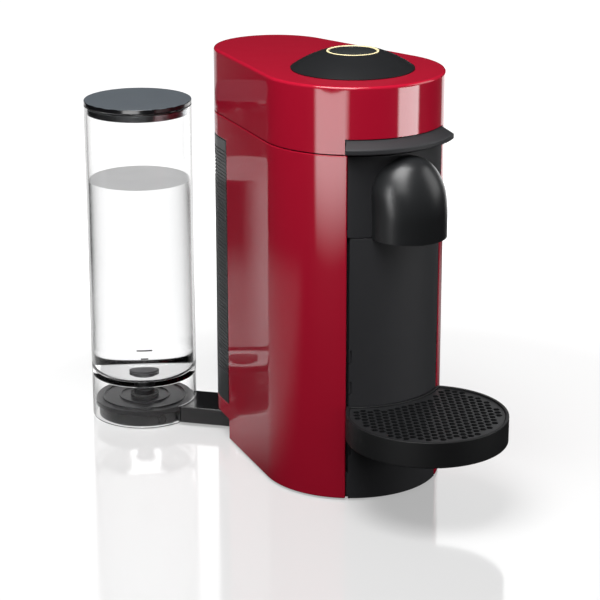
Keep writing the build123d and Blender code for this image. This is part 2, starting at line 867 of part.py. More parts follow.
# The ribs are a sleeve on the fascia: its profile steps in and out once for each groove,
# runs round the rear and goes on straight along both flanks
rib_count = int((container_height - rib_start - rib_end) / rib_pitch)
groove_radius = rear_radius - rib_depth
sleeve_inner = groove_radius - fascia_wall / 3
sleeve_run = (window_lead - run_gap) / cos(taper) - rib_depth
sleeve_turn = 180 - 2 * degrees(taper)
sleeve_points = [(sleeve_inner, container_bottom), (rear_radius, container_bottom)]
for rib in range(rib_count):
    groove_low = container_bottom + rib_start + rib * rib_pitch
    groove_high = groove_low + rib_pitch - rib_height
    sleeve_points += [(rear_radius, groove_low), (groove_radius, groove_low)]
    sleeve_points += [(groove_radius, groove_high), (rear_radius, groove_high)]
sleeve_points += [(rear_radius, container_lid_z), (sleeve_inner, container_lid_z)]
grip_z = container_lid_z - grip_drop
with BuildPart() as capsule_container:
    with BuildSketch(Plane.XY.offset(container_bottom)):
        add(container_plan(0, rib_depth, fascia_y))
    extrude(amount=container_height)
    with BuildSketch(Plane.XY.offset(container_bottom + container_wall)):
        add(container_plan(container_wall, fascia_wall, fascia_y + fascia_wall))
    extrude(amount=container_height, mode=Mode.SUBTRACT)
    for side in (-1, 1):
        flank_plane = Plane(
            origin=(0, axis_spacing, 0),
            x_dir=(side * cos(taper), sin(taper), 0),
            z_dir=(sin(taper), -side * cos(taper), 0),
        )
        with BuildSketch(flank_plane) as rib_section:
            with BuildLine():
                Polyline(*sleeve_points, close=True)
            make_face()
        extrude(amount=side * sleeve_run)
    revolve(rib_section.sketch, axis=Axis((0, axis_spacing, 0), (0, 0, 1)), revolution_arc=sleeve_turn)
    for side in (-1, 1):
        turn = radians(side * grip_angle)
        grip_plane = Plane(
            origin=(rear_radius * sin(turn), axis_spacing + rear_radius * cos(turn), grip_z),
            x_dir=(cos(turn), -sin(turn), 0),
            z_dir=(sin(turn), cos(turn), 0),
        )
        with BuildSketch(grip_plane.offset(-grip_pad)):
            SlotOverall(grip_height + 2 * container_wall, grip_width + 2 * container_wall, rotation=90)
        extrude(amount=grip_pad - fascia_wall / 2)
        with BuildSketch(grip_plane.offset(-grip_depth)):
            SlotOverall(grip_height, grip_width, rotation=90)
        extrude(amount=2 * grip_depth, mode=Mode.SUBTRACT)
save(capsule_container.part, "capsule_container")

# Red head shell with the dome hole, the lever slot and the relief behind the hinge
lever_slot_angle = lever_half_angle + degrees(run_gap / front_radius)
lever_bottom = head_bottom + seat_gap
lever_top = lever_bottom + lever_thickness
relief_turn = radians(head_opening)
relief_front = hinge_y + hinge_rise * tan(relief_turn / 2)
relief_end = rear_y + shell_wall
relief_rise = hinge_rise + ((relief_end - hinge_y) * sin(relief_turn) - hinge_rise) / cos(relief_turn)
with BuildPart() as head_shell:
    with BuildSketch(Plane.XY.offset(head_bottom)):
        add(egg_face(0))
    extrude(amount=head_height)
    fillet(head_shell.faces().sort_by(Axis.Z)[-1].outer_wire().edges(), head_rim_round)
    fillet(head_shell.faces().sort_by(Axis.Z)[0].outer_wire().edges(), seam_round)
    with BuildSketch(Plane.XY.offset(head_bottom)):
        add(egg_face(shell_wall))
    extrude(amount=head_height - shell_wall, mode=Mode.SUBTRACT)
    with BuildSketch(Plane.XY.offset(head_top - 2 * shell_wall)):
        Circle(dome_hole_radius)
    extrude(amount=4 * shell_wall, mode=Mode.SUBTRACT)
    with BuildSketch(Plane.XY.offset(head_bottom)):
        add(front_sector(front_radius + shell_wall, front_radius / 2, -lever_slot_angle, lever_slot_angle))
    extrude(amount=lever_top + lever_gap - head_bottom, mode=Mode.SUBTRACT)
    with BuildSketch(Plane.YZ.offset(-2 * front_radius)):
        with BuildLine():
            Polyline(
                (relief_front, head_bottom),
                (relief_end, head_bottom + relief_rise),
                (relief_end, head_bottom - shell_wall),
                (relief_front, head_bottom - shell_wall),
                close=True,
            )
        make_face()
    extrude(amount=4 * front_radius, mode=Mode.SUBTRACT)
save(head_shell.part, "head_shell")

# Head frame: floor plate of the head with hinge lugs, lever ears and the motor cradle
lever_inner = front_radius - lever_root
centre_distance = gear_module * (sector_teeth + pinion_teeth) / 2
pinion_y = hinge_y - centre_distance * cos(radians(mesh_angle))
pinion_z = hinge_z + centre_distance * sin(radians(mesh_angle))
opening_motor_start = head_lug_start + lug_gap
bay_start = pinion_y - opening_motor_radius - lug_radius
bay_half = ear_end + 2 * lug_gap
frame_end = hinge_y - lug_radius - run_gap
lever_z = frame_bottom + lever_barrel_radius + seat_gap
ear_places = [side * (lever_barrel_half + lug_gap + lever_lug_width / 2) for side in (-1, 1)]
cradle_start = bay_half
cradle_width = opening_motor_start + opening_motor_length - cradle_start
with BuildPart() as head_frame:
    with BuildSketch(Plane.XY.offset(frame_bottom)):
        add(egg_face(inner))
        lever_slot = front_sector(front_radius, lever_inner - run_gap, -lever_slot_angle, lever_slot_angle)
        add(lever_slot, mode=Mode.SUBTRACT)
        Circle(injector_radius + fit_gap, mode=Mode.SUBTRACT)
        add(strip(2 * bay_half, bay_start, 2 * rear_y), mode=Mode.SUBTRACT)
        add(strip(4 * front_radius, frame_end, 2 * rear_y), mode=Mode.SUBTRACT)
        lever_slot_width = 2 * (lever_barrel_half + lug_gap)
        lever_slot_end = -lever_pivot_radius + lever_barrel_radius + run_gap
        add(strip(lever_slot_width, -front_radius, lever_slot_end), mode=Mode.SUBTRACT)
    extrude(amount=frame_thickness)
    for side in (-1, 1):
        with BuildSketch(Plane.YZ.offset(side * (head_lug_start + head_lug_end) / 2)):
            with Locations((hinge_y, hinge_z)):
                Circle(lug_radius)
            with BuildLine():
                Polyline(
                    (bay_start - frame_thickness, frame_bottom),
                    (hinge_y, frame_bottom),
                    (hinge_y, hinge_z + lug_radius),
                    (bay_start - frame_thickness, hinge_z),
                    close=True,
                )
            make_face()
            with Locations((hinge_y, hinge_z)):
                Circle(hinge_pin_radius + fit_gap, mode=Mode.SUBTRACT)
        extrude(amount=lug_width / 2, both=True)
    for x in ear_places:
        with BuildSketch(Plane.YZ.offset(x)):
            with Locations((-lever_pivot_radius, lever_z)):
                Circle(lever_barrel_radius)
            ear_low = (frame_bottom + lever_z) / 2
            with Locations((-lever_pivot_radius, ear_low)):
                Rectangle(2 * lever_barrel_radius, lever_z - frame_bottom)
            with Locations((-lever_pivot_radius, lever_z)):
                Circle(lever_pin_radius + fit_gap, mode=Mode.SUBTRACT)
        extrude(amount=lever_lug_width / 2, both=True)
    with BuildSketch(Plane.YZ.offset(cradle_start)):
        with Locations((pinion_y, (frame_bottom + pinion_z) / 2)):
            Rectangle(2 * opening_motor_radius, pinion_z - frame_bottom)
        with Locations((pinion_y, pinion_z)):
            Circle(opening_motor_radius + seat_gap, mode=Mode.SUBTRACT)
    extrude(amount=cradle_width)
    with BuildSketch(Plane.XY.offset(frame_bottom)):
        with Locations((0, -lever_pivot_radius)):
            Rectangle(2 * lever_barrel_half + 2 * lug_gap, 2 * lever_barrel_radius + 2 * run_gap)
    extrude(amount=frame_thickness, mode=Mode.SUBTRACT)
    with BuildSketch(Plane.YZ.offset(-lever_slot_width)):
        with Locations((-lever_pivot_radius, lever_z)):
            Circle(lever_pin_radius + fit_gap)
    extrude(amount=2 * lever_slot_width, mode=Mode.SUBTRACT)
save(head_frame.part, "head_frame")

# Opening motor in its cradle
with BuildPart() as opening_motor:
    with BuildSketch(Plane.YZ.offset(opening_motor_start)):
        with Locations((pinion_y, pinion_z)):
            Circle(opening_motor_radius)
            Circle(pinion_shaft_radius + fit_gap, mode=Mode.SUBTRACT)
    extrude(amount=opening_motor_length)
save(opening_motor.part, "opening_motor")

# Pinion that climbs the fixed sector
pinion_shift = 180 / pinion_teeth
pinion_first = -mesh_angle + pinion_shift
with BuildPart() as opening_pinion:
    with BuildSketch(Plane.YZ.offset(-sector_half)):
        with Locations((pinion_y, pinion_z)):
            add(gear_face(pinion_teeth, pinion_first, pinion_teeth))
    extrude(amount=sector_width)
    with BuildSketch(Plane.YZ.offset(sector_half)):
        with Locations((pinion_y, pinion_z)):
            Circle(pinion_shaft_radius)
    extrude(amount=opening_motor_length / 2)
save(opening_pinion.part, "opening_pinion")

# Injector with the piercing needle and the stem that carries the clamp
clamp_bottom = frame_bottom - clamp_thickness - seat_gap
stem_bottom = clamp_bottom - seat_gap - stem_flange_height
with BuildPart() as injector:
    with BuildSketch(upright(0)):
        with BuildLine():
            Polyline(
                (0, frame_top + injector_height),
                (injector_radius, frame_top + injector_height),
                (injector_radius, frame_top + injector_flange_height),
                (injector_flange, frame_top + injector_flange_height),
                (injector_flange, frame_top),
                (injector_radius, frame_top),
                (injector_radius, frame_bottom + seat_gap),
                (stem_radius, frame_bottom + seat_gap),
                (stem_radius, clamp_bottom - seat_gap),
                (stem_radius + stem_flange, clamp_bottom - seat_gap),
                (stem_radius + stem_flange, stem_bottom),
                (needle_radius, stem_bottom),
                (needle_radius, stem_bottom - needle_length),
                (0, stem_bottom - needle_length - needle_radius),
                close=True,
            )
        make_face()
    revolve(axis=Axis.Z)
save(injector.part, "injector")

# Clamp disc that presses the capsule on the drum and spins with it
with BuildPart() as capsule_clamp:
    with BuildSketch(Plane.XY.offset(clamp_bottom)):
        Circle(clamp_radius)
        Circle(stem_radius + fit_gap, mode=Mode.SUBTRACT)
        with PolarLocations((clamp_radius + stem_radius) / 2, clamp_holes):
            Circle(clamp_hole_radius, mode=Mode.SUBTRACT)
    extrude(amount=clamp_thickness)
save(capsule_clamp.part, "capsule_clamp")

# Opening lever: a lip round the front of the head with a tongue to its pivot
lever_tip = front_radius + lever_reach
lever_low = lever_bottom + lever_chin
with BuildPart() as lever_lip:
    with BuildSketch(Plane.YZ):
        with BuildLine():
            Polyline(
                (-lever_inner, lever_bottom),
                (-lever_tip + lever_slope, lever_bottom),
                (-lever_tip, lever_low),
                (-lever_tip, lever_top - lever_slope),
                (-front_radius, lever_top),
                (-lever_inner, lever_top),
                close=True,
            )
        make_face()
        fillet(vertices().sort_by(Axis.X)[0:2], lever_round)
    revolve(axis=Axis.Z, revolution_arc=2 * lever_half_angle)
with BuildPart() as lever:
    add(lever_lip.part, rotation=(0, 0, -lever_half_angle))
    with BuildSketch(Plane.YZ.offset(-lever_barrel_half)):
        with Locations((-lever_pivot_radius, lever_z)):
            Circle(lever_barrel_radius)
        with BuildLine():
            Polyline(
                (-lever_pivot_radius, lever_z + lever_barrel_radius),
                (-lever_pivot_radius, lever_z - lever_barrel_radius / 2),
                (-lever_inner - lever_slope / 2, lever_z - lever_barrel_radius / 2),
                (-lever_inner - lever_slope / 2, lever_z + lever_barrel_radius),
                close=True,
            )
        make_face()
        with Locations((-lever_pivot_radius, lever_z)):
            Circle(lever_pin_radius + fit_gap, mode=Mode.SUBTRACT)
    extrude(amount=2 * lever_barrel_half)
save(lever.part, "lever")

# Pivot pin of the lever
lever_pin_half = lever_barrel_half + lug_gap + lever_lug_width
with BuildPart() as lever_pin:
    with BuildSketch(Plane.YZ.offset(-lever_pin_half)):
        with Locations((-lever_pivot_radius, lever_z)):
            Circle(lever_pin_radius)
    extrude(amount=2 * lever_pin_half)
save(lever_pin.part, "lever_pin")

# Dome cover on the head, with the seat of the light ring and posts for the head board
dome_top = head_top + dome_height
ring_inner = ring_outer - ring_width
ring_bottom = dome_top - ring_height
ring_hole = ring_outer + seat_gap
dome_shoulder = ring_hole + dome_edge
skirt_radius = dome_hole_radius - seat_gap
board_top = dome_top - board_drop
post_ring = board_radius - board_post_inset
with BuildPart() as dome_cover:
    with BuildSketch(upright(0)):
        with BuildLine():
            start = (dome_radius, head_top + dome_edge)
            end = (dome_shoulder, dome_top)
            middle = ((start[0] + end[0]) / 2 + dome_bulge / 2, (start[1] + end[1]) / 2 + dome_bulge)
            Polyline((dome_radius, head_top), start)
            ThreePointArc(start, middle, end)
            Polyline(
                end,
                (ring_hole, dome_top),
                (ring_hole, ring_bottom),
                (ring_inner, ring_bottom),
                (ring_inner, ring_bottom - dome_wall),
                (dome_shoulder, ring_bottom - dome_wall),
                (skirt_radius - dome_wall, head_top - dome_edge),
                (skirt_radius - dome_wall, head_top - dome_skirt),
                (skirt_radius, head_top - dome_skirt),
                (skirt_radius, head_top),
                (dome_radius, head_top),
            )
        make_face()
    revolve(axis=Axis.Z)
    with BuildSketch(Plane.XY.offset(board_top)):
        with PolarLocations(post_ring, board_posts):
            Circle(board_post_radius)
    extrude(amount=dome_height / 2)
save(dome_cover.part, "dome_cover")

# Light ring round the button
with BuildPart() as light_ring:
    with BuildSketch(Plane.XY.offset(ring_bottom)):
        Circle(ring_outer)
        Circle(ring_inner, mode=Mode.SUBTRACT)
    extrude(amount=ring_height + seat_gap)
save(light_ring.part, "light_ring")

# Brew button, a cap with a stem over the switch
button_radius = ring_inner - seat_gap
button_base = dome_top - button_height
switch_top = board_top + switch_height
button_ball = (button_radius**2 + button_rise**2) / (2 * button_rise)
button_shoulder = dome_top + button_rise - button_ball + sqrt(button_ball**2 - button_radius**2 / 4)
with BuildPart() as brew_button:
    with BuildSketch(upright(0)):
        with BuildLine():
            Polyline(
                (0, dome_top + button_rise),
                (0, switch_top + button_travel + seat_gap),
                (switch_radius, switch_top + button_travel + seat_gap),
                (switch_radius, dome_top - 2 * button_wall),
                (button_radius - button_wall, dome_top - 2 * button_wall),
                (button_radius - button_wall, button_base),
                (button_radius, button_base),
                (button_radius, dome_top),
            )
            ThreePointArc(
                (button_radius, dome_top),
                (button_radius / 2, button_shoulder),
                (0, dome_top + button_rise),
            )
        make_face()
    revolve(axis=Axis.Z)
save(brew_button.part, "brew_button")

# Head board with the button switch
with BuildPart() as head_board:
    with BuildSketch(Plane.XY.offset(board_top - board_thickness)):
        Circle(board_radius)
    extrude(amount=board_thickness)
    with BuildSketch(Plane.XY.offset(board_top)):
        Circle(switch_radius)
        with PolarLocations(ring_outer + switch_radius / 2, board_lights):
            Rectangle(switch_radius, 2 * switch_radius)
    extrude(amount=switch_top - board_top)
save(head_board.part, "head_board")


def tray_plan(inset, back_inset):
    """Plan of the cup support: a disc cut by the round of the front panel."""
    with BuildSketch(Plane.XY) as plan:
        with Locations((0, -tray_centre)):
            Circle(tray_radius - inset)
        Circle(front_radius + run_gap + back_inset, mode=Mode.SUBTRACT)
    return plan.sketch


# Cup support with a drip well and two hooks that ride in the panel channels
tray_bottom = tray_top - tray_height
grid_top = tray_top - grid_sink
grid_bottom = grid_top - grid_thickness
hook_angle = panel_half_angle - channel_angle / 2
hook_half = degrees(hook_width / 2 / front_radius)
hook_reach = channel_depth - run_gap
with BuildPart() as cup_support:
    with BuildSketch(Plane.XY.offset(tray_bottom)):
        add(tray_plan(0, 0))
    extrude(amount=tray_height)
    with BuildSketch(Plane.XY.offset(grid_bottom - seat_gap)):
        add(tray_plan(tray_wall, tray_wall))
    extrude(amount=tray_height, mode=Mode.SUBTRACT)
    with BuildSketch(Plane.XY.offset(tray_bottom + tray_floor)):
        add(tray_plan(tray_wall + ledge_width, tray_wall + ledge_width))
    extrude(amount=tray_height, mode=Mode.SUBTRACT)
    for side in (-1, 1):
        with BuildSketch(Plane.XY.offset(tray_bottom + (tray_height - hook_height) / 2)):
            span = sorted((side * (hook_angle - hook_half), side * (hook_angle + hook_half)))
            add(front_sector(front_radius + 2 * run_gap, front_radius - hook_reach, *span))
            root = sorted((side * (hook_angle - 4 * hook_half), side * (hook_angle + hook_half)))
            add(front_sector(front_radius + tray_wall, front_radius + run_gap, *root))
        extrude(amount=hook_height)
save(cup_support.part, "cup_support")

# Drip grid with a honeycomb of holes
hex_radius = (hex_pitch - hex_bar) / sqrt(3)
hex_row = hex_pitch * sqrt(3) / 2
grid_inset = tray_wall + seat_gap
hex_limit = tray_radius - grid_inset - hex_bar - hex_pitch / 2
back_limit = front_radius + run_gap + grid_inset + hex_bar + hex_pitch / 2
hex_rows = int(tray_radius / hex_row)
hex_columns = int(tray_radius / hex_pitch)
hex_places = [
    ((column + (row % 2) / 2) * hex_pitch, row * hex_row - tray_centre)
    for row in range(-hex_rows, hex_rows + 1)
    for column in range(-hex_columns, hex_columns + 1)
]
hex_places = [
    (x, y)
    for x, y in hex_places
    if sqrt(x**2 + (y + tray_centre) ** 2) < hex_limit and sqrt(x**2 + y**2) > back_limit
]
hex_corners = [radians(30 + 60 * corner) for corner in range(6)]
hex_holes = [
    Wire.make_polygon([(x + hex_radius * cos(turn), y + hex_radius * sin(turn)) for turn in hex_corners])
    for x, y in hex_places
]
with BuildPart() as drip_grid:
    with BuildSketch(Plane.XY.offset(grid_bottom)):
        add(Face(tray_plan(grid_inset, grid_inset).face().outer_wire(), hex_holes))
    extrude(amount=grid_thickness)
save(drip_grid.part, "drip_grid")

# The arm and the tank are drawn on a plane turned about the swivel pin, with the arm along its local Y
arm_turn = radians(arm_angle)
arm_plane = Plane(origin=(0, axis_spacing, 0), x_dir=(cos(arm_turn), sin(arm_turn), 0), z_dir=(0, 0, 1))
tank_place = (0, arm_length)
seat_radius = tank_radius - tank_wall - run_gap
arm_base_radius = seat_radius - seat_overhang
seat_top = arm_top + seat_gap
seat_bottom = seat_top - seat_thickness
seal_ring = valve_radius + seal_section + seat_gap

# Swivel arm with its hub, hollow beam and round tank base
with BuildPart() as swivel_arm:
    with BuildSketch(arm_plane.offset(arm_bottom)):
        Circle(arm_hub_radius)
        add(strip(2 * arm_half_width, 0, arm_length))
    extrude(amount=arm_height)
    with BuildSketch(arm_plane.offset(arm_bottom)):
        with Locations(tank_place):
            Circle(arm_base_radius)
    extrude(amount=arm_height)
    with BuildSketch(arm_plane.offset(seat_bottom - seat_gap)):
        with Locations(tank_place):
            Circle(seat_radius + seat_gap)
    extrude(amount=arm_height, mode=Mode.SUBTRACT)
    with BuildSketch(arm_plane.offset(arm_bottom + arm_wall)):
        with Locations(tank_place):
            Circle(arm_base_radius - arm_wall)
    extrude(amount=seat_bottom - arm_bottom, mode=Mode.SUBTRACT)
    with BuildSketch(arm_plane):
        Circle(swivel_radius + fit_gap)
    extrude(amount=2 * arm_top, mode=Mode.SUBTRACT)
save(swivel_arm.part, "swivel_arm")

# Rubber feet under the tank base
with BuildPart() as arm_feet:
    with BuildSketch(arm_plane):
        with Locations(tank_place):
            with PolarLocations(arm_foot_ring, arm_foot_count):
                Circle(arm_foot_radius)
    extrude(amount=arm_bottom)
save(arm_feet.part, "arm_feet")

# Tank seat, the lid of the base with the water coupling
with BuildPart() as tank_seat:
    with BuildSketch(arm_plane.offset(seat_bottom)):
        with Locations(tank_place):
            Circle(seat_radius)
    extrude(amount=seat_thickness)
    with BuildSketch(arm_plane.offset(seat_top)):
        with Locations(tank_place):
            Circle(valve_radius)
    extrude(amount=valve_height)
    with BuildSketch(arm_plane.offset(seat_bottom)):
        with Locations(tank_place):
            Circle(valve_bore)
    extrude(amount=seat_thickness + valve_height, mode=Mode.SUBTRACT)
save(tank_seat.part, "tank_seat")

# Rubber seal round the coupling
with BuildPart() as seat_seal:
    with BuildSketch(arm_plane.offset(seat_top)):
        with Locations(tank_place):
            Circle(seal_ring + seal_section)
            Circle(valve_radius + fit_gap, mode=Mode.SUBTRACT)
    extrude(amount=2 * seal_section)
save(seat_seal.part, "seat_seal")

# Clear water tank: a tall cylinder with a raised floor, a skirt round the base and a notch for the arm
valve_seat_z = seat_top + valve_height + seat_gap
notch_half = arm_half_width + run_gap
with BuildPart() as water_tank:
    with BuildSketch(arm_plane.offset(tank_bottom)):
        with Locations(tank_place):
            Circle(tank_radius)
            Circle(tank_radius - tank_wall, mode=Mode.SUBTRACT)
    extrude(amount=tank_top - tank_bottom)
    with BuildSketch(arm_plane.offset(tank_floor)):
        with Locations(tank_place):
            Circle(tank_radius - tank_wall / 2)
    extrude(amount=tank_floor_wall)
    with BuildSketch(arm_plane.offset(valve_seat_z)):
        with Locations(tank_place):
            Circle(valve_radius)
    extrude(amount=tank_floor - valve_seat_z)
    with BuildSketch(arm_plane.offset(valve_seat_z)):
        with Locations(tank_place):
            Circle(valve_radius - tank_wall)
    extrude(amount=2 * tank_floor, mode=Mode.SUBTRACT)
    with BuildSketch(arm_plane.offset(tank_bottom)):
        with Locations((0, arm_length - tank_radius)):
            Rectangle(2 * notch_half, tank_radius)
    extrude(amount=arm_top + run_gap - tank_bottom, mode=Mode.SUBTRACT)
save(water_tank.part, "water_tank")

# Valve plug in the tank floor
plug_radius = valve_radius - tank_wall - fit_gap
plug_top = tank_floor + tank_floor_wall + tank_wall
with BuildPart() as tank_valve:
    with BuildSketch(arm_plane.offset(valve_seat_z + seat_gap)):
        with Locations(tank_place):
            Circle(plug_radius)
    extrude(amount=plug_top - valve_seat_z - seat_gap)
    with BuildSketch(arm_plane.offset(tank_floor + tank_floor_wall)):
        with Locations(tank_place):
            Circle(valve_radius)
    extrude(amount=tank_wall)
    with BuildSketch(arm_plane.offset(valve_seat_z)):
        with Locations(tank_place):
            Circle(valve_bore)
    extrude(amount=tank_floor - valve_seat_z, mode=Mode.SUBTRACT)
save(tank_valve.part, "tank_valve")

# Tank lid: a flat disc with an inner skirt
tank_bore = tank_radius - tank_wall
band_outer = tank_bore - run_gap
band_inner = band_outer - band_wall
lid_bottom = tank_top + seat_gap
with BuildPart() as tank_lid:
    with BuildSketch(arm_plane.offset(lid_bottom)):
        with Locations(tank_place):
            Circle(tank_radius)
    extrude(amount=lid_thickness)
    fillet(tank_lid.faces().sort_by(Axis.Z)[-1].edges(), min(lid_round, lid_thickness / 2))
    with BuildSketch(arm_plane.offset(lid_bottom - band_height)):
        with Locations(tank_place):
            Circle(band_inner - fit_gap)
            Circle(band_inner - fit_gap - lid_skirt_wall, mode=Mode.SUBTRACT)
    extrude(amount=band_height)
save(tank_lid.part, "tank_lid")

# Bright band round the lid skirt
with BuildPart() as lid_band:
    with BuildSketch(arm_plane.offset(lid_bottom - band_height)):
        with Locations(tank_place):
            Circle(band_outer)
            Circle(band_inner, mode=Mode.SUBTRACT)
    extrude(amount=band_height - seal_height)
save(lid_band.part, "lid_band")

# Rubber seal between the band and the disc
with BuildPart() as lid_seal:
    with BuildSketch(arm_plane.offset(lid_bottom - seal_height)):
        with Locations(tank_place):
            Circle(band_outer - seat_gap)
            Circle(band_inner, mode=Mode.SUBTRACT)
    extrude(amount=seal_height)
save(lid_seal.part, "lid_seal")

# Water pump: a coil block on a tube with a spigot at each end
pump_half = pump_length / 2
with BuildPart() as water_pump:
    with BuildSketch(Plane.YZ.offset(-pump_half)):
        with Locations((pump_y, pump_z)):
            Circle(pump_radius)
    extrude(amount=pump_length)
    with BuildSketch(Plane.YZ.offset(-pump_coil / 2)):
        with Locations((pump_y, pump_z)):
            Rectangle(pump_coil, pump_coil)
    extrude(amount=pump_coil)
    with BuildSketch(Plane.YZ.offset(-pump_half - spigot_length)):
        with Locations((pump_y, pump_z)):
            Circle(spigot_radius)
    extrude(amount=pump_length + 2 * spigot_length)
save(water_pump.part, "water_pump")

# Rubber saddles under the pump
saddle_x = (pump_coil / 2 + pump_half) / 2
with BuildPart() as pump_mounts:
    with BuildSketch(Plane.XY.offset(base_top)):
        with Locations((-saddle_x, pump_y), (saddle_x, pump_y)):
            Rectangle(mount_width, mount_length)
    extrude(amount=pump_z - base_top - saddle_dip)
    with BuildSketch(Plane.YZ.offset(-pump_half)):
        with Locations((pump_y, pump_z)):
            Circle(pump_radius + seat_gap)
    extrude(amount=pump_length, mode=Mode.SUBTRACT)
save(pump_mounts.part, "pump_mounts")

# Flow meter on the base plate
meter_y = pump_y + pump_coil / 2 + meter_radius + 2 * spigot_length
with BuildPart() as flow_meter:
    with BuildSketch(Plane.XY.offset(base_top)):
        with Locations((0, meter_y)):
            Circle(meter_radius)
    extrude(amount=meter_height)
    with BuildSketch(upright(meter_y + meter_radius + spigot_length)):
        with Locations((0, suction_z)):
            Circle(spigot_radius)
    extrude(amount=meter_radius + spigot_length)
    with BuildSketch(Plane.YZ):
        with Locations((meter_y, base_top + meter_height / 2)):
            Circle(spigot_radius)
    extrude(amount=-meter_radius - spigot_length)
save(flow_meter.part, "flow_meter")

# Heater block on its shelf
heater_port_z = heater_z + heater_height / 2
with BuildPart() as heater_block:
    with BuildSketch(Plane.XY.offset(heater_z)):
        with Locations((0, heater_front + heater_depth / 2)):
            Rectangle(heater_width, heater_depth)
    extrude(amount=heater_height)
    chamfer(heater_block.edges().filter_by(Axis.Z), heater_chamfer)
    with BuildSketch(upright(heater_front)):
        with Locations((-heater_spread / 2, heater_port_z), (heater_spread / 2, heater_port_z)):
            Circle(spigot_radius)
    extrude(amount=spigot_length)
save(heater_block.part, "heater_block")

# Hoses between the pin, the meter, the pump, the heater and the deck
meter_port_z = base_top + meter_height / 2
pump_port = pump_half + spigot_length + seat_gap
heater_port_y = heater_front - spigot_length - seat_gap
suction_start = axis_spacing - swivel_radius - spigot_length - seat_gap
suction_hose = hose(
    [(0, suction_start, suction_z), (0, meter_y + meter_radius + spigot_length + seat_gap, suction_z)],
    hose_bend,
)
save(suction_hose, "suction_hose")
feed_hose = hose(
    [
        (-meter_radius - spigot_length - seat_gap, meter_y, meter_port_z),
        (-hose_lane, meter_y, meter_port_z),
        (-hose_lane, pump_y, pump_z),
        (-pump_port, pump_y, pump_z),
    ],
    hose_bend,
)
save(feed_hose, "feed_hose")
pressure_hose = hose(
    [
        (pump_port, pump_y, pump_z),
        (hose_lane, pump_y, pump_z),
        (hose_lane, pump_y, heater_port_z),
        (heater_spread / 2, pump_y, heater_port_z),
        (heater_spread / 2, heater_port_y, heater_port_z),
    ],
    hose_bend,
)
save(pressure_hose, "pressure_hose")
brew_hose = hose(
    [
        (-heater_spread / 2, heater_port_y, heater_port_z),
        (-heater_spread / 2, pump_y, heater_port_z),
        (-hose_lane, pump_y, heater_port_z),
        (-hose_lane, pump_y, deck_bottom - seat_gap),
    ],
    hose_bend,
)
save(brew_hose, "brew_hose")

# Control board on the standoffs of the cross wall
main_board_face = partition_y - main_board_gap - seat_gap
with BuildPart() as control_board:
    with BuildSketch(upright(main_board_face)):
        with Locations((0, main_board_z)):
            Rectangle(main_board_width, main_board_height)
    extrude(amount=board_thickness)
    with BuildSketch(upright(main_board_face - board_thickness)):
        with Locations((0, main_board_z)):
            relay_pitch = main_board_width / relay_columns
            with GridLocations(relay_pitch, main_board_height / relay_rows, relay_columns, relay_rows):
                Rectangle(relay_size, relay_length)
    extrude(amount=relay_size)
save(control_board.part, "control_board")
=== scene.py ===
"""Visual model of a capsule espresso machine with a clear water tank on a swivel arm, in metres."""

import logging
import math
from dataclasses import dataclass, replace
from enum import Enum
from typing import Callable, Optional, Sequence, Union

import bmesh
import bpy
from bmesh.types import BMEdge, BMFace, BMVert, BMesh
from bpy.types import ID, Light, Material, Node, NodeSocket, Object, World
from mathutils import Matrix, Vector


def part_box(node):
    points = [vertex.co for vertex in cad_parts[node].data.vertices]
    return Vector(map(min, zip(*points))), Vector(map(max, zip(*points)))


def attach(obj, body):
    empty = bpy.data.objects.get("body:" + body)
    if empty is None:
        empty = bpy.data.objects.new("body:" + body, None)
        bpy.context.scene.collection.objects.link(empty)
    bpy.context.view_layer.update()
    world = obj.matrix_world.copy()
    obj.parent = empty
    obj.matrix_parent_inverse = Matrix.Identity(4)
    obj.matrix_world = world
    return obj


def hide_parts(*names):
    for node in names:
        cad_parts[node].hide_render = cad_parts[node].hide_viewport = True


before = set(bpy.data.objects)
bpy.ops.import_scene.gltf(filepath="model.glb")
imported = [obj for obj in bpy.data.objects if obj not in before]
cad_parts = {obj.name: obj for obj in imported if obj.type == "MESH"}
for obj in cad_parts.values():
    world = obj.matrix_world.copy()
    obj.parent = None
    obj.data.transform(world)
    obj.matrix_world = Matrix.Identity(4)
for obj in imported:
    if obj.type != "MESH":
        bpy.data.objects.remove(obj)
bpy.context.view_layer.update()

MM = 0.001
SPECK = 0.001 * MM  # counts as no distance
WELD_GAP = 0.01 * MM  # points nearer to each other become one
RING_STEPS = 128
BEVEL_STEPS = 3
SHARP_ANGLE = math.radians(32)  # edges that bend more are sharp
UP = Vector((0, 0, 1))
log = logging.getLogger("espresso_machine")


class Body(Enum):
    """The moving bodies that pieces ride on."""

    HOUSING = "housing"
    HEAD = "head"
    LEVER = "lever"
    BUTTON = "button"
    SUPPORT = "support"
    CONTAINER = "container"
    ARM = "arm"
    TANK = "tank"
    LID = "lid"


# Shader maths


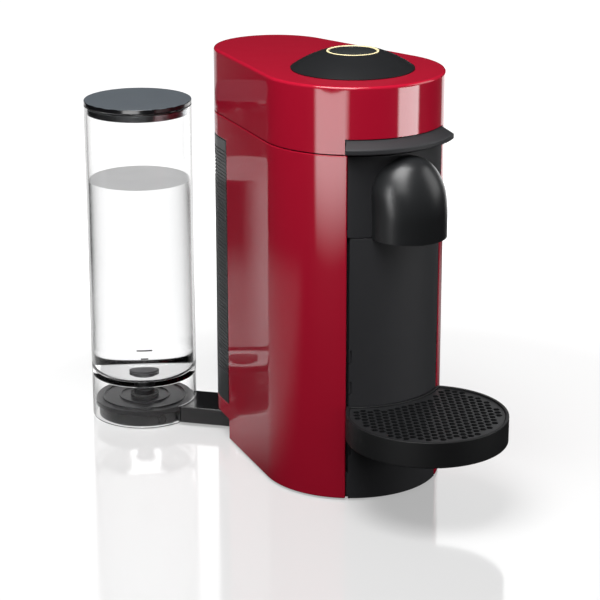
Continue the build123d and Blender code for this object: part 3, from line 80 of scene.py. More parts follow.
class Wire:
    """An output socket in a node tree, with arithmetic that adds Math nodes."""

    def __init__(self, tree: "Tree", socket: NodeSocket) -> None:
        """Keep the socket and the tree that it belongs to."""
        self.tree = tree
        self.socket = socket

    def maths(self, operation: str, first: "Value", second: "Value" = 0.0) -> "Wire":
        """Add one Math node.

        Args:
            operation: the node's operation.
            first: the first number or wire.
            second: the second number or wire.

        Returns:
            The node's output.
        """
        node = self.tree.node("ShaderNodeMath", {0: first, 1: second}, operation=operation)
        return Wire(self.tree, node.outputs[0])

    def __add__(self, other: "Value") -> "Wire":
        """Sum of two values."""
        return self.maths("ADD", self, other)

    def __radd__(self, other: "Value") -> "Wire":
        """Sum with a number on the left."""
        return self.maths("ADD", other, self)

    def __sub__(self, other: "Value") -> "Wire":
        """Difference of two values."""
        return self.maths("SUBTRACT", self, other)

    def __rsub__(self, other: "Value") -> "Wire":
        """Difference with a number on the left."""
        return self.maths("SUBTRACT", other, self)

    def __mul__(self, other: "Value") -> "Wire":
        """Product of two values."""
        return self.maths("MULTIPLY", self, other)

    def __truediv__(self, other: "Value") -> "Wire":
        """Quotient of two values."""
        return self.maths("DIVIDE", self, other)

    def minimum(self, other: "Value") -> "Wire":
        """Smaller of two values."""
        return self.maths("MINIMUM", self, other)

    def maximum(self, other: "Value") -> "Wire":
        """Larger of two values."""
        return self.maths("MAXIMUM", self, other)

    def absolute(self) -> "Wire":
        """The value without its sign."""
        return self.maths("ABSOLUTE", self)

    def sine(self) -> "Wire":
        """Sine of the value, in radians."""
        return self.maths("SINE", self)


Value = Union[float, Wire]
Colour = tuple[float, float, float]
Point = Sequence[float]


class Tree:
    """The node tree of a material, a light or the world."""

    def __init__(self, owner: Union[Material, Light, World]) -> None:
        """Start the owner's node tree afresh."""
        owner.use_nodes = True
        self.tree = owner.node_tree
        self.tree.nodes.clear()

    def node(self, kind: str, inputs: Optional[dict] = None, **settings: str) -> Node:
        """Add a node.

        Args:
            kind: the node's type.
            inputs: numbers, colours or wires for its input sockets.
            settings: the node's own properties.

        Returns:
            The new node.
        """
        made = self.tree.nodes.new(kind)
        for key, value in settings.items():
            setattr(made, key, value)
        for key, value in (inputs or {}).items():
            if isinstance(value, Wire):
                self.tree.links.new(value.socket, made.inputs[key])
            else:
                made.inputs[key].default_value = value
        return made

    def wire(self, kind: str, inputs: Optional[dict] = None, output: Union[int, str] = 0, **settings: str) -> Wire:
        """Add a node and return one of its outputs."""
        return Wire(self, self.node(kind, inputs, **settings).outputs[output])

    def place(self) -> Wire:
        """Object coordinates."""
        return self.wire("ShaderNodeTexCoord", output="Object")

    def noise(self, size: float, detail: float = 3.0) -> Wire:
        """Noise with patches of a given size in metres."""
        inputs = {"Vector": self.place(), "Scale": 1 / size, "Detail": detail}
        return self.wire("ShaderNodeTexNoise", inputs)

    def blend(self, share: Wire, first: Colour, second: Colour) -> Wire:
        """Mix two colours."""
        return self.wire("ShaderNodeMix", {0: share, 6: (*first, 1.0), 7: (*second, 1.0)}, 2, data_type="RGBA")

    def bump(self, height: Wire, distance: float) -> Wire:
        """Normal of a surface with a height pattern of a given depth in metres."""
        return self.wire("ShaderNodeBump", {"Height": height, "Distance": distance, "Strength": 1.0})

    def ramp(self, value: Wire, start: float, end: float) -> Wire:
        """Smooth step from 0 at a start value to 1 at an end value."""
        inputs = {0: value, 1: start, 2: end, 3: 0.0, 4: 1.0}
        return self.wire("ShaderNodeMapRange", inputs, interpolation_type="SMOOTHSTEP")

    def vector(self, operation: str, first: Wire, second: Point = (0.0, 0.0, 0.0), output: str = "Vector") -> Wire:
        """Add one Vector Math node and return one of its outputs."""
        return self.wire("ShaderNodeVectorMath", {0: first, 1: second}, output, operation=operation)

    def dot(self, vector: Wire, direction: Point) -> Wire:
        """Length of a vector along a direction."""
        return self.vector("DOT_PRODUCT", vector, direction, "Value")

    def mix(self, share: Wire, first: Node, second: Node) -> Node:
        """Mix two shaders."""
        inputs = {0: share, 1: Wire(self, first.outputs[0]), 2: Wire(self, second.outputs[0])}
        return self.node("ShaderNodeMixShader", inputs)

    def surface(self, shader: Node, kind: str = "ShaderNodeOutputMaterial") -> None:
        """Connect a shader to the tree's output."""
        self.node(kind, {"Surface": Wire(self, shader.outputs[0])})


@dataclass(frozen=True)
class Surface:
    """A named surface, which is made into a material once."""

    name: str

    def shader(self, tree: Tree) -> Node:
        """Add the surface's shader to a tree."""
        raise NotImplementedError

    def material(self) -> Material:
        """Make the material once, and return the same one afterwards."""
        if self.name not in bpy.data.materials:
            tree = Tree(bpy.data.materials.new(self.name))
            tree.surface(self.shader(tree))
        return bpy.data.materials[self.name]


@dataclass(frozen=True)
class Finish(Surface):
    """A moulded, lacquered or plated surface with mottling, smears and grain.

    The sizes are in metres. ring_pitch adds fine turning marks about ring_centre where it isn't zero.
    """

    colour: Colour
    roughness: float
    metallic: float = 0.0
    specular: float = 0.5
    coat: float = 0.0
    coat_roughness: float = 0.04
    mottle: float = 0.08
    mottle_size: float = 0.02
    smear: float = 0.08
    smear_size: float = 0.035
    grain_size: float = 0.0007
    grain_depth: float = 0.00003
    ring_pitch: float = 0.0
    ring_depth: float = 0.00002
    ring_centre: tuple[float, float] = (0.0, 0.0)
    glow: float = 0.0

    def height(self, tree: Tree) -> Wire:
        """Height pattern of the surface: grain, with turning marks where the finish has them.

        Args:
            tree: the material's node tree.

        Returns:
            A value from about 0 to 1.
        """
        grain = tree.noise(self.grain_size, detail=4.0)
        if not self.ring_pitch:
            return grain
        flat = tree.vector("MULTIPLY", tree.place(), (1.0, 1.0, 0.0))
        radius = tree.vector("DISTANCE", flat, (*self.ring_centre, 0.0), "Value")
        marks = (radius * (2 * math.pi / self.ring_pitch)).sine()
        return marks * (0.5 * self.ring_depth / self.grain_depth) + grain

    def shader(self, tree: Tree) -> Node:
        """Add the shader: mottled colour, smeared roughness and a bump from the height pattern.

        Args:
            tree: the material's node tree.

        Returns:
            The shader.
        """
        patch = tree.noise(self.mottle_size)
        dark = tuple(c * (1 - self.mottle) for c in self.colour)
        light = tuple(min(1.0, c * (1 + self.mottle)) for c in self.colour)
        smears = tree.noise(self.smear_size, detail=6.0)
        roughness = self.roughness + (smears - 0.5) * (2 * self.smear * self.roughness)
        inputs = {
            "Base Color": tree.blend(patch, dark, light),
            "Roughness": roughness,
            "Metallic": self.metallic,
            "Specular IOR Level": self.specular,
            "Coat Weight": self.coat,
            "Coat Roughness": self.coat_roughness,
            "Normal": tree.bump(self.height(tree), self.grain_depth),
        }
        if self.glow:
            inputs["Emission Color"] = (*self.colour, 1.0)
            inputs["Emission Strength"] = self.glow
        return tree.node("ShaderNodeBsdfPrincipled", inputs)


@dataclass(frozen=True)
class ClearFinish(Surface):
    """A clear solid that bends light: plastic or water. Shadow rays pass nearly unhindered."""

    tint: Colour
    ior: float
    roughness: float = 0.0
    ripple_size: float = 0.03
    ripple_depth: float = 0.00004

    def shader(self, tree: Tree) -> Node:
        """Add the shader: bent light for what is seen, and a plain tint for shadows.

        Args:
            tree: the material's node tree.

        Returns:
            The shader.
        """
        body = tree.node("ShaderNodeBsdfPrincipled", {
            "Base Color": (*self.tint, 1.0),
            "Roughness": self.roughness,
            "IOR": self.ior,
            "Transmission Weight": 1.0,
            "Normal": tree.bump(tree.noise(self.ripple_size), self.ripple_depth),
        })
        through = tree.node("ShaderNodeBsdfTransparent", {"Color": (*self.tint, 1.0)})
        return tree.mix(tree.wire("ShaderNodeLightPath", output="Is Shadow Ray"), body, through)


# Finishes of the machine

RED_LACQUER = Finish(
    "red_lacquer", (0.43, 0.0062, 0.027), roughness=0.34, specular=0.05, coat=1.0, coat_roughness=0.035, mottle=0.03,
    grain_size=0.006, grain_depth=0.000012, smear=0.15,
)
BLACK_GLOSS = Finish(
    "gloss_plastic", (0.008, 0.008, 0.009), roughness=0.20, coat=0.5, grain_size=0.004, grain_depth=0.00001,
)
BLACK_SATIN = Finish("satin_plastic", (0.026, 0.0262, 0.029), roughness=0.60, specular=0.42, grain_depth=0.00004)
DOME_SATIN = Finish("dome_satin", (0.014, 0.0145, 0.0155), roughness=0.42, specular=0.07, grain_depth=0.00004)
SPOUT_SATIN = Finish("spout_satin", (0.016, 0.0168, 0.018), roughness=0.34, grain_depth=0.00002)
BLACK_MATTE = Finish(
    "black_matte", (0.0065, 0.0068, 0.0075), roughness=0.52, specular=0.3, grain_size=0.0009, grain_depth=0.00007,
)
GRID_BLACK = Finish("grid_black", (0.011, 0.0115, 0.0125), roughness=0.45, grain_size=0.0009)
CONTAINER_BLACK = Finish("ribbed_plastic", (0.015, 0.018, 0.019), roughness=0.38)
BUTTON_BLACK = Finish(
    "button_plastic", (0.034, 0.037, 0.037), roughness=0.18, coat=0.6, grain_size=0.005, grain_depth=0.000008,
)
# Lid top: black plastic given a grey colour, as painted sheen of the bright surroundings
PAINTED_SHEEN_LID_TOP = Finish("lid_top_painted_sheen", (0.105, 0.120, 0.135), roughness=0.36, ring_pitch=0.9 * MM, ring_depth=0.00001)
SEAT_GLOSS = Finish(
    "seat_disc", (0.008, 0.008, 0.009), roughness=0.30, grain_size=0.004, grain_depth=0.00001, ring_pitch=2.4 * MM,
    ring_depth=0.00001,
)
PRINT_GREY = Finish("print_grey", (0.035, 0.035, 0.036), roughness=0.6, grain_depth=0.00001)
CHROME = Finish(
    "chrome_plate", (0.30, 0.31, 0.32), roughness=0.22, metallic=1.0, mottle=0.02, grain_size=0.006,
    grain_depth=0.00001,
)
GOLD_LIGHT = Finish("warm_light", (0.88, 0.76, 0.44), roughness=0.35, glow=0.35, grain_depth=0.00001)
DARK_PLASTIC = Finish("dark_moulding", (0.030, 0.030, 0.033), roughness=0.5, grain_depth=0.00005)
STEEL = Finish("plain_steel", (0.55, 0.55, 0.56), roughness=0.28, metallic=1.0, smear=0.25, grain_size=0.0004)
DRUM_GREY = Finish("drum_plastic", (0.36, 0.37, 0.38), roughness=0.42)
CAST_METAL = Finish(
    "cast_aluminium", (0.62, 0.63, 0.64), roughness=0.45, metallic=1.0, grain_size=0.0012, grain_depth=0.00012,
)
COIL_CASE = Finish("coil_casing", (0.20, 0.06, 0.03), roughness=0.45)
BOARD_GREEN = Finish("circuit_board", (0.02, 0.16, 0.07), roughness=0.38, mottle=0.2, mottle_size=0.004)
SILICONE = Finish("silicone_hose", (0.72, 0.72, 0.70), roughness=0.5)
RUBBER = Finish("black_rubber", (0.012, 0.012, 0.012), roughness=0.8, grain_depth=0.00006)
CLEAR_PLASTIC = ClearFinish("clear_plastic", (1.0, 1.0, 1.0), ior=1.22)
WATER = ClearFinish("water", (0.995, 0.998, 1.0), ior=1.33)
WATER_FACE = Finish("water_face", (0.66, 0.66, 0.665), roughness=0.30, metallic=1.0, grain_depth=0.00002)


# Mesh building


@dataclass(frozen=True)
class Sheet:
    """A drawing plane: an origin and two directions. Turns go from the first towards the second."""

    origin: Vector
    along: Vector
    across: Vector

    def point(self, place: Point) -> Vector:
        """Place in space of a drawn point."""
        return self.origin + self.along * place[0] + self.across * place[1]

    @property
    def normal(self) -> Vector:
        """Direction that the sheet's turns go round."""
        return self.along.cross(self.across)


def level_way(turn: float) -> Vector:
    """Level direction at an angle in radians."""
    return Vector((math.cos(turn), math.sin(turn), 0))


def floor_plan(height: float = 0.0, centre: Point = (0.0, 0.0), turn: float = 0.0) -> Sheet:
    """Sheet that lies flat at a height, turned about its centre by an angle in radians."""
    along = level_way(turn)
    return Sheet(Vector((*centre, height)), along, UP.cross(along))


def half_section(centre: Point = (0.0, 0.0), turn: float = 0.0) -> Sheet:
    """Upright sheet through a vertical axis: first the radius, in a direction in radians, then the height."""
    return Sheet(Vector((*centre, 0)), level_way(turn), UP)


def add_object(name: str, data: ID) -> Object:
    """Add an object to the scene."""
    made = bpy.data.objects.new(name, data)
    bpy.context.scene.collection.objects.link(made)
    return made


def modify(made: Object, name: str, kind: str, **settings: Union[float, str]) -> None:
    """Add a modifier with its settings to an object."""
    added = made.modifiers.new(name, kind)
    for key, value in settings.items():
        setattr(added, key, value)


class Path:
    """A chain of edges, drawn on a sheet by straight runs and round turns."""

    def __init__(self, mesh: BMesh, sheet: Sheet, start: Point) -> None:
        """Put the pen at a start point."""
        self.mesh = mesh
        self.sheet = sheet
        self.first = self.tip = mesh.verts.new(sheet.point(start))
        self.edges: list[BMEdge] = []

    def run(self, *points: Point) -> "Path":
        """Draw straight lines through points."""
        for place in points:
            corner = self.mesh.verts.new(self.sheet.point(place))
            self.edges.append(self.mesh.edges.new((self.tip, corner)))
            self.tip = corner
        return self

    def turn(self, centre: Point, angle: float, steps: int) -> "Path":
        """Draw an arc.

        Args:
            centre: the arc's centre on the sheet.
            angle: how far it turns, in radians.
            steps: its number of edges.

        Returns:
            The same path.
        """
        before = set(self.mesh.edges)
        made = bmesh.ops.spin(
            self.mesh, geom=[self.tip], cent=self.sheet.point(centre), axis=self.sheet.normal, angle=angle,
            steps=steps, use_duplicate=False,
        )
        self.edges += [e for e in self.mesh.edges if e not in before]
        self.tip = next(v for v in made["geom_last"] if isinstance(v, BMVert))
        return self

    def close(self) -> "Path":
        """Draw a line back to the start."""
        self.edges.append(self.mesh.edges.new((self.tip, self.first)))
        return self

    def weld(self) -> "Path":
        """Join the tip with the start where the last turn ends on it."""
        bmesh.ops.pointmerge(self.mesh, verts=[self.first, self.tip], merge_co=self.first.co)
        known = {e for e in self.edges if e.is_valid}
        joined = [e for v in {v for e in known for v in e.verts} for e in v.link_edges if e.is_wire]
        self.edges = list(known.union(joined))
        return self


class Form:
    """A mesh under construction."""

    SPREAD = 0.1

    def __init__(self) -> None:
        """Start with an empty mesh."""
        self.mesh = bmesh.new()

    def path(self, sheet: Sheet, start: Point) -> Path:
        """Start drawing on a sheet."""
        return Path(self.mesh, sheet, start)

    def circle(self, sheet: Sheet, radius: float, steps: int = RING_STEPS) -> Path:
        """Draw a circle about a sheet's origin."""
        return self.path(sheet, (radius, 0)).turn((0, 0), 2 * math.pi, steps).weld()

    def rectangle(self, sheet: Sheet, left: float, right: float, low: float, high: float) -> Path:
        """Draw a rectangle on a sheet."""
        return self.path(sheet, (left, low)).run((right, low), (right, high), (left, high)).close()

    def merge(self) -> None:
        """Join points that lie on each other."""
        bmesh.ops.remove_doubles(self.mesh, verts=self.mesh.verts[:], dist=WELD_GAP)

    def turn_outwards(self) -> None:
        """Turn the faces of closed solids outwards."""
        bmesh.ops.recalc_face_normals(self.mesh, faces=self.mesh.faces[:])

    def lathe(self, path: Path, steps: int = RING_STEPS) -> None:
        """Spin a drawn half section all round its sheet's second direction."""
        points = list({v for e in path.edges for v in e.verts})
        bmesh.ops.spin(
            self.mesh, geom=points + path.edges, cent=path.sheet.origin, axis=path.sheet.across, angle=2 * math.pi,
            steps=steps, use_merge=True, use_duplicate=False,
        )
        self.merge()

    def sweep_solid(self, path: Path, turn: float, steps: int) -> None:
        """Spin a closed section about its sheet's vertical axis into a solid with closed ends."""
        section = bmesh.ops.contextual_create(self.mesh, geom=path.edges)["faces"]
        bmesh.ops.spin(
            self.mesh, geom=section, cent=path.sheet.origin, axis=UP, angle=turn, steps=steps, use_duplicate=False,
        )

    def raise_wall(self, edges: Sequence[BMEdge], heights: Sequence[float]) -> list[BMEdge]:
        """Extrude a chain of edges upwards.

        Args:
            edges: the chain, at the first height.
            heights: the levels that the wall passes through.

        Returns:
            The edges at the last height.
        """
        for low, high in zip(heights, heights[1:]):
            made = bmesh.ops.extrude_edge_only(self.mesh, edges=list(edges))["geom"]
            points = {v for v in made if isinstance(v, BMVert)}
            bmesh.ops.translate(self.mesh, verts=list(points), vec=UP * (high - low))
            edges = [e for e in self.mesh.edges if e.verts[0] in points and e.verts[1] in points]
        return list(edges)

    def push(self, faces: list[BMFace], way: Vector) -> None:
        """Extrude faces along a vector."""
        made = bmesh.ops.extrude_face_region(self.mesh, geom=faces)["geom"]
        moved = [v for v in made if isinstance(v, BMVert)]
        bmesh.ops.translate(self.mesh, verts=moved, vec=way)

    def prism(self, path: Path, height: float) -> None:
        """Fill a closed outline and raise it into a solid."""
        self.push(bmesh.ops.contextual_create(self.mesh, geom=path.edges)["faces"], UP * height)

    def skin(self, draw: Callable[[float, float], Path], levels: Sequence[tuple[float, float]],
             capped: bool = True) -> list[Path]:
        """Join closed outlines in a row. They are drawn well apart, and then moved to their heights.

        Args:
            draw: draws an outline at a height with an inset.
            levels: height and inset of each outline.
            capped: whether the first and the last are filled.

        Returns:
            The outlines.
        """
        loops = [draw(step * self.SPREAD, inset) for step, (_, inset) in enumerate(levels)]
        for first, second in zip(loops, loops[1:]):
            bmesh.ops.bridge_loops(self.mesh, edges=first.edges + second.edges)
        for loop, (height, _) in zip(loops, levels):
            for corner in {v for e in loop.edges for v in e.verts}:
                corner.co.z = height
        for end in (loops[0], loops[-1]) if capped else ():
            bmesh.ops.contextual_create(self.mesh, geom=end.edges)
        return loops

    def drop(self, test: Callable[[Vector], bool]) -> None:
        """Delete the faces whose middle passes a test."""
        gone = [f for f in self.mesh.faces if test(f.calc_center_median())]
        bmesh.ops.delete(self.mesh, geom=gone, context="FACES")

    def face_away(self, axis_y: float = 0.0) -> None:
        """Turn an open wall's faces away from a vertical axis in the middle plane."""
        self.turn_outwards()
        outward = 0.0
        for face in self.mesh.faces:
            arm = face.calc_center_median() - Vector((0, axis_y, 0))
            arm.z = 0
            outward += face.calc_area() * face.normal.dot(arm)
        if outward < 0:
            bmesh.ops.reverse_faces(self.mesh, faces=self.mesh.faces[:])

    def piece(self, name: str, body: Body, finish: Surface, replaces: Sequence[str] = (),
              wall: float = 0.0, bevel: float = 0.4 * MM, accent: Optional[Surface] = None,
              has_accent: Callable[[Vector], bool] = bool) -> None:
        """Finish the mesh as a piece of the machine.

        Args:
            name: the piece's name.
            body: the body that it rides on.
            finish: the finish of its surface.
            replaces: the solids that it stands for.
            wall: thickness to add inwards, for an open wall. A mesh without it is a closed solid.
            bevel: radius of its sharp edges.
            accent: a second finish, for some of the faces.
            has_accent: whether the face at a place has the second finish.
        """
        self.merge()
        if not wall:
            self.turn_outwards()
        data = bpy.data.meshes.new(name)
        self.mesh.to_mesh(data)
        self.mesh.free()
        data.polygons.foreach_set("use_smooth", [True] * len(data.polygons))
        data.set_sharp_from_angle(angle=SHARP_ANGLE)
        data.materials.append(finish.material())
        if accent:
            data.materials.append(accent.material())
            for face in data.polygons:
                face.material_index = int(has_accent(face.center))
        made = add_object(name, data)
        if wall:
            modify(made, "wall", "SOLIDIFY", thickness=wall, offset=-1, use_even_offset=True)
        if bevel:
            modify(made, "edges", "BEVEL", width=bevel, segments=BEVEL_STEPS, limit_method="ANGLE",
                   angle_limit=SHARP_ANGLE, harden_normals=True, miter_outer="MITER_ARC")
        modify(made, "shading", "WEIGHTED_NORMAL", keep_sharp=True)
        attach(made, body.value)
        if replaces:
            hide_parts(*replaces)
        log.info("%s rides on %s", name, body.value)


def dress(finish: Finish, *nodes: str) -> None:
    """Give solids that stay as they are a finish."""
    for name in nodes:
        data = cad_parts[name].data
        data.materials.clear()
        data.materials.append(finish.material())
        log.info("%s dressed in %s", name, finish.name)


# The machine


@dataclass(frozen=True)
class Plan:
    """Egg plan of the housing: a large front round, a small rear round and straight flanks."""

    front: float
    rear: float
    spacing: float
    window_lead: float = 17.0 * MM
    round_steps: int = 64

    @classmethod
    def from_frame(cls, rear: float = 48.5 * MM) -> "Plan":
        """Take the plan from the body shell's box."""
        _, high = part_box("body_shell")
        return cls(front=high.x, rear=rear, spacing=high.y - rear)

    @property
    def taper(self) -> float:
        """Angle between a flank and the middle plane."""
        return math.asin((self.front - self.rear) / self.spacing)

    @property
    def window_y(self) -> float:
        """Y of the front edge of the container's window in the flanks."""
        return self.spacing + self.rear * math.sin(self.taper) - self.window_lead

    def ahead(self, angle: float, radius: float) -> tuple[float, float]:
        """Point about the front axis at an angle to the right of straight ahead."""
        return (radius * math.sin(angle), -radius * math.cos(angle))

    def bearing(self, place: Vector) -> float:
        """Angle about the front axis between a place and straight ahead, without its sign."""
        return abs(math.atan2(place.x, -place.y))

    def outline(self, form: Form, height: float, gap: float, inset: float = 0.0) -> Path:
        """Draw the plan from one edge of a gap in front, round the rear, to the other edge.

        Args:
            form: the mesh to draw in.
            height: the level of the drawing.
            gap: half the gap's angle, in radians.
            inset: how far the outline lies inside the plan.

        Returns:
            The drawn chain.
        """
        across, along = math.cos(self.taper), math.sin(self.taper)
        front, rear = self.front - inset, self.rear - inset
        side = math.pi / 2 + self.taper - gap
        path = form.path(floor_plan(height), self.ahead(gap, front))
        lead_x = self.window_lead * along / across
        path.turn((0, 0), side, self.round_steps)
        path.run((rear * across + lead_x, self.window_y - inset * along), (rear * across, self.spacing + rear * along))
        path.turn((0, self.spacing), math.pi - 2 * self.taper, self.round_steps)
        path.run((-rear * across - lead_x, self.window_y - inset * along), (-front * across, front * along))
        return path.turn((0, 0), side, self.round_steps)


@dataclass
class BodyShell:
    """Red shell round the machine, open in front for the panels and behind for the container and the arm."""

    plan: Plan
    gap: float = math.radians(37.5)
    wall: float = 3.0 * MM
    slot_height: float = 18.0 * MM
    window_low: float = 31.0 * MM
    window_high: float = 248.0 * MM
    edge: float = 0.8 * MM

    def build(self) -> None:
        """Build the shell from its plan and cut the rear openings."""
        low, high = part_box("body_shell")
        heights = (low.z, self.slot_height, self.window_low, self.window_high, high.z)
        form = Form()
        form.raise_wall(self.plan.outline(form, low.z, self.gap).edges, heights)
        form.drop(self.is_open)
        form.face_away(self.plan.spacing / 2)
        form.piece(
            "body_shell_skin", Body.HOUSING, RED_LACQUER, ["body_shell"], self.wall, self.edge,
        )

    def is_open(self, middle: Vector) -> bool:
        """Whether a place on the wall lies in a rear opening."""
        behind = middle.y > self.plan.window_y
        return behind and (middle.z < self.slot_height or self.window_low < middle.z < self.window_high)


@dataclass
class Head:
    """Tilting head: red shell, lever, dome, light ring and brew button."""

    plan: Plan
    wall: float = 3.0 * MM
    rim_round: float = 2.2 * MM
    rim_steps: int = 6
    edge: float = 0.8 * MM
    dome_hole: float = 44.0 * MM
    lever_gap: float = 0.8 * MM
    lever_side_gap: float = 0.6 * MM
    lever_half: float = math.radians(38.5)
    lever_root: float = 60.0 * MM
    lever_slope: float = 5.0 * MM
    lever_chin: float = 1.25 * MM
    lever_tongue: float = 16.0 * MM
    opening: float = math.radians(22.0)
    hinge: tuple[float, float] = (143.0 * MM, 272.0 * MM)
    dome_edge: float = 0.8 * MM
    dome_bulge: float = 1.0 * MM
    dome_steps: int = 10
    ring_gap: float = 0.3 * MM
    ring_width: float = 1.1 * MM
    ring_land: float = 1.1 * MM
    seat_depth: float = 4.4 * MM
    seat_ledge: float = 2.2 * MM
    seat_foot: float = 7.7 * MM
    button_rise: float = 1.6 * MM
    button_wall: float = 2.0 * MM
    crown_steps: int = 12

    def build(self) -> None:
        """Build all pieces of the head."""
        self.build_shell()
        self.build_lever()
        self.build_dome()
        self.build_ring()
        self.build_button()

    def build_shell(self) -> None:
        """Shell with a rounded rim, the dome hole, the lever slot and the relief behind the hinge."""
        low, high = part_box("head_shell")
        _, lever_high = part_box("lever")
        slot_top = lever_high.z + self.lever_gap
        slot_half = self.lever_half + self.lever_side_gap / self.plan.front
        levels = [(low.z, 0.0), (slot_top, 0.0)]
        for step in range(self.rim_steps + 1):
            turn = math.pi / 2 * step / self.rim_steps
            levels.append((high.z - self.rim_round * (1 - math.sin(turn)), self.rim_round * (1 - math.cos(turn))))
        form = Form()
        loops = form.skin(lambda height, inset: self.rim(form, height, inset, slot_half), levels, capped=False)
        hole = form.circle(floor_plan(high.z), self.dome_hole)
        bmesh.ops.triangle_fill(form.mesh, edges=loops[-1].edges + hole.edges, normal=UP, use_beauty=True)
        form.drop(lambda middle: self.in_slot(middle, slot_top))
        self.cut_relief(form, low.z)
        form.face_away(self.plan.spacing / 2)
        form.piece("head_shell_skin", Body.HEAD, RED_LACQUER, ["head_shell"], self.wall, self.edge)

    def rim(self, form: Form, height: float, inset: float, slot_half: float) -> Path:
        """Closed outline of the shell, with points at the lever slot's sides."""
        path = self.plan.outline(form, height, slot_half, inset)
        return path.turn((0, 0), 2 * slot_half, self.plan.round_steps // 2).weld()

    def in_slot(self, middle: Vector, slot_top: float) -> bool:
        """Whether a place on the wall lies in the lever slot."""
        return middle.z < slot_top and self.plan.bearing(middle) < self.lever_half

    def cut_relief(self, form: Form, bottom: float) -> None:
        """Cut the wedge behind the hinge that lets the head tilt."""
        hinge_y, hinge_z = self.hinge
        front = hinge_y + (hinge_z - bottom) * math.tan(self.opening / 2)
        normal = Vector((0, math.sin(self.opening), -math.cos(self.opening)))
        everything = form.mesh.verts[:] + form.mesh.edges[:] + form.mesh.faces[:]
        bmesh.ops.bisect_plane(
            form.mesh, geom=everything, plane_co=Vector((0, front, bottom)), plane_no=normal, clear_outer=True,
            dist=SPECK,
        )

    def build_lever(self) -> None:
        """Lip round the front of the head, with a tongue towards its pivot."""
        low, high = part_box("lever")
        tip = -low.y
        sheet = Sheet(Vector((0, 0, 0)), Vector((*self.plan.ahead(-self.lever_half, 1.0), 0)), UP)
        form = Form()
        path = form.path(sheet, (self.lever_root, low.z))
        path.run(
            (tip - self.lever_slope, low.z), (tip, low.z + self.lever_chin), (tip, high.z - self.lever_slope),
            (self.plan.front, high.z), (self.lever_root, high.z),
        ).close()
        form.sweep_solid(path, 2 * self.lever_half, self.plan.round_steps)
        level, half = floor_plan(low.z + self.lever_slope / 2), self.lever_tongue / 2
        form.prism(form.rectangle(level, half, -half, -self.lever_root, high.y), self.lever_slope / 2)
        form.piece("lever_lip", Body.LEVER, BLACK_SATIN, ["lever"], bevel=0.8 * MM)

    def build_dome(self) -> None:
        """Shallow dome with a seat for the light ring."""
        low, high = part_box("dome_cover")
        _, head_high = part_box("head_shell")
        _, ring_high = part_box("light_ring")
        ring = ring_high.x + self.ring_gap
        edge_z = head_high.z + self.dome_edge
        form = Form()
        path = form.path(half_section(), (self.dome_hole - self.ring_gap, low.z))
        path.run((self.dome_hole - self.ring_gap, head_high.z), (high.x, head_high.z), (high.x, edge_z))
        for step in range(1, self.dome_steps + 1):
            share = step / self.dome_steps
            swell = 4 * self.dome_bulge * share * (1 - share)
            radius = high.x + (ring + self.ring_land - high.x) * share
            path.run((radius + swell / 2, edge_z + (high.z - edge_z) * share + swell))
        seat, ledge = high.z - self.seat_depth, ring - self.seat_ledge
        path.run((ring, high.z), (ring, seat), (ledge, seat), (ledge, high.z - self.seat_foot))
        path.run((self.dome_hole - self.wall, low.z)).close()
        form.lathe(path)
        form.piece("dome", Body.HEAD, DOME_SATIN, ["dome_cover"], bevel=0.3 * MM)

    def build_ring(self) -> None:
        """Thin warm ring of light round the button."""
        low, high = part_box("light_ring")
        inner = high.x - self.ring_width
        form = Form()
        form.lathe(form.rectangle(half_section(), inner, high.x, low.z, high.z))
        form.piece("light_band", Body.HEAD, GOLD_LIGHT, ["light_ring"], bevel=0.35 * MM)

    def build_button(self) -> None:
        """Glossy button with a spherical crown, hollow below."""
        low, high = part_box("brew_button")
        radius = high.x
        ball = (radius**2 + self.button_rise**2) / (2 * self.button_rise)
        crown = math.asin(radius / ball)
        rim = high.z - self.button_rise
        bore, ceiling = radius - self.button_wall, rim - 2 * self.button_wall
        form = Form()
        path = form.path(half_section(), (0, ceiling))
        path.run((bore, ceiling), (bore, low.z), (radius, low.z), (radius, rim))
        path.turn((0, high.z - ball), crown, self.crown_steps)
        form.lathe(path)
        form.piece("button_cap", Body.BUTTON, BUTTON_BLACK, ["brew_button"])


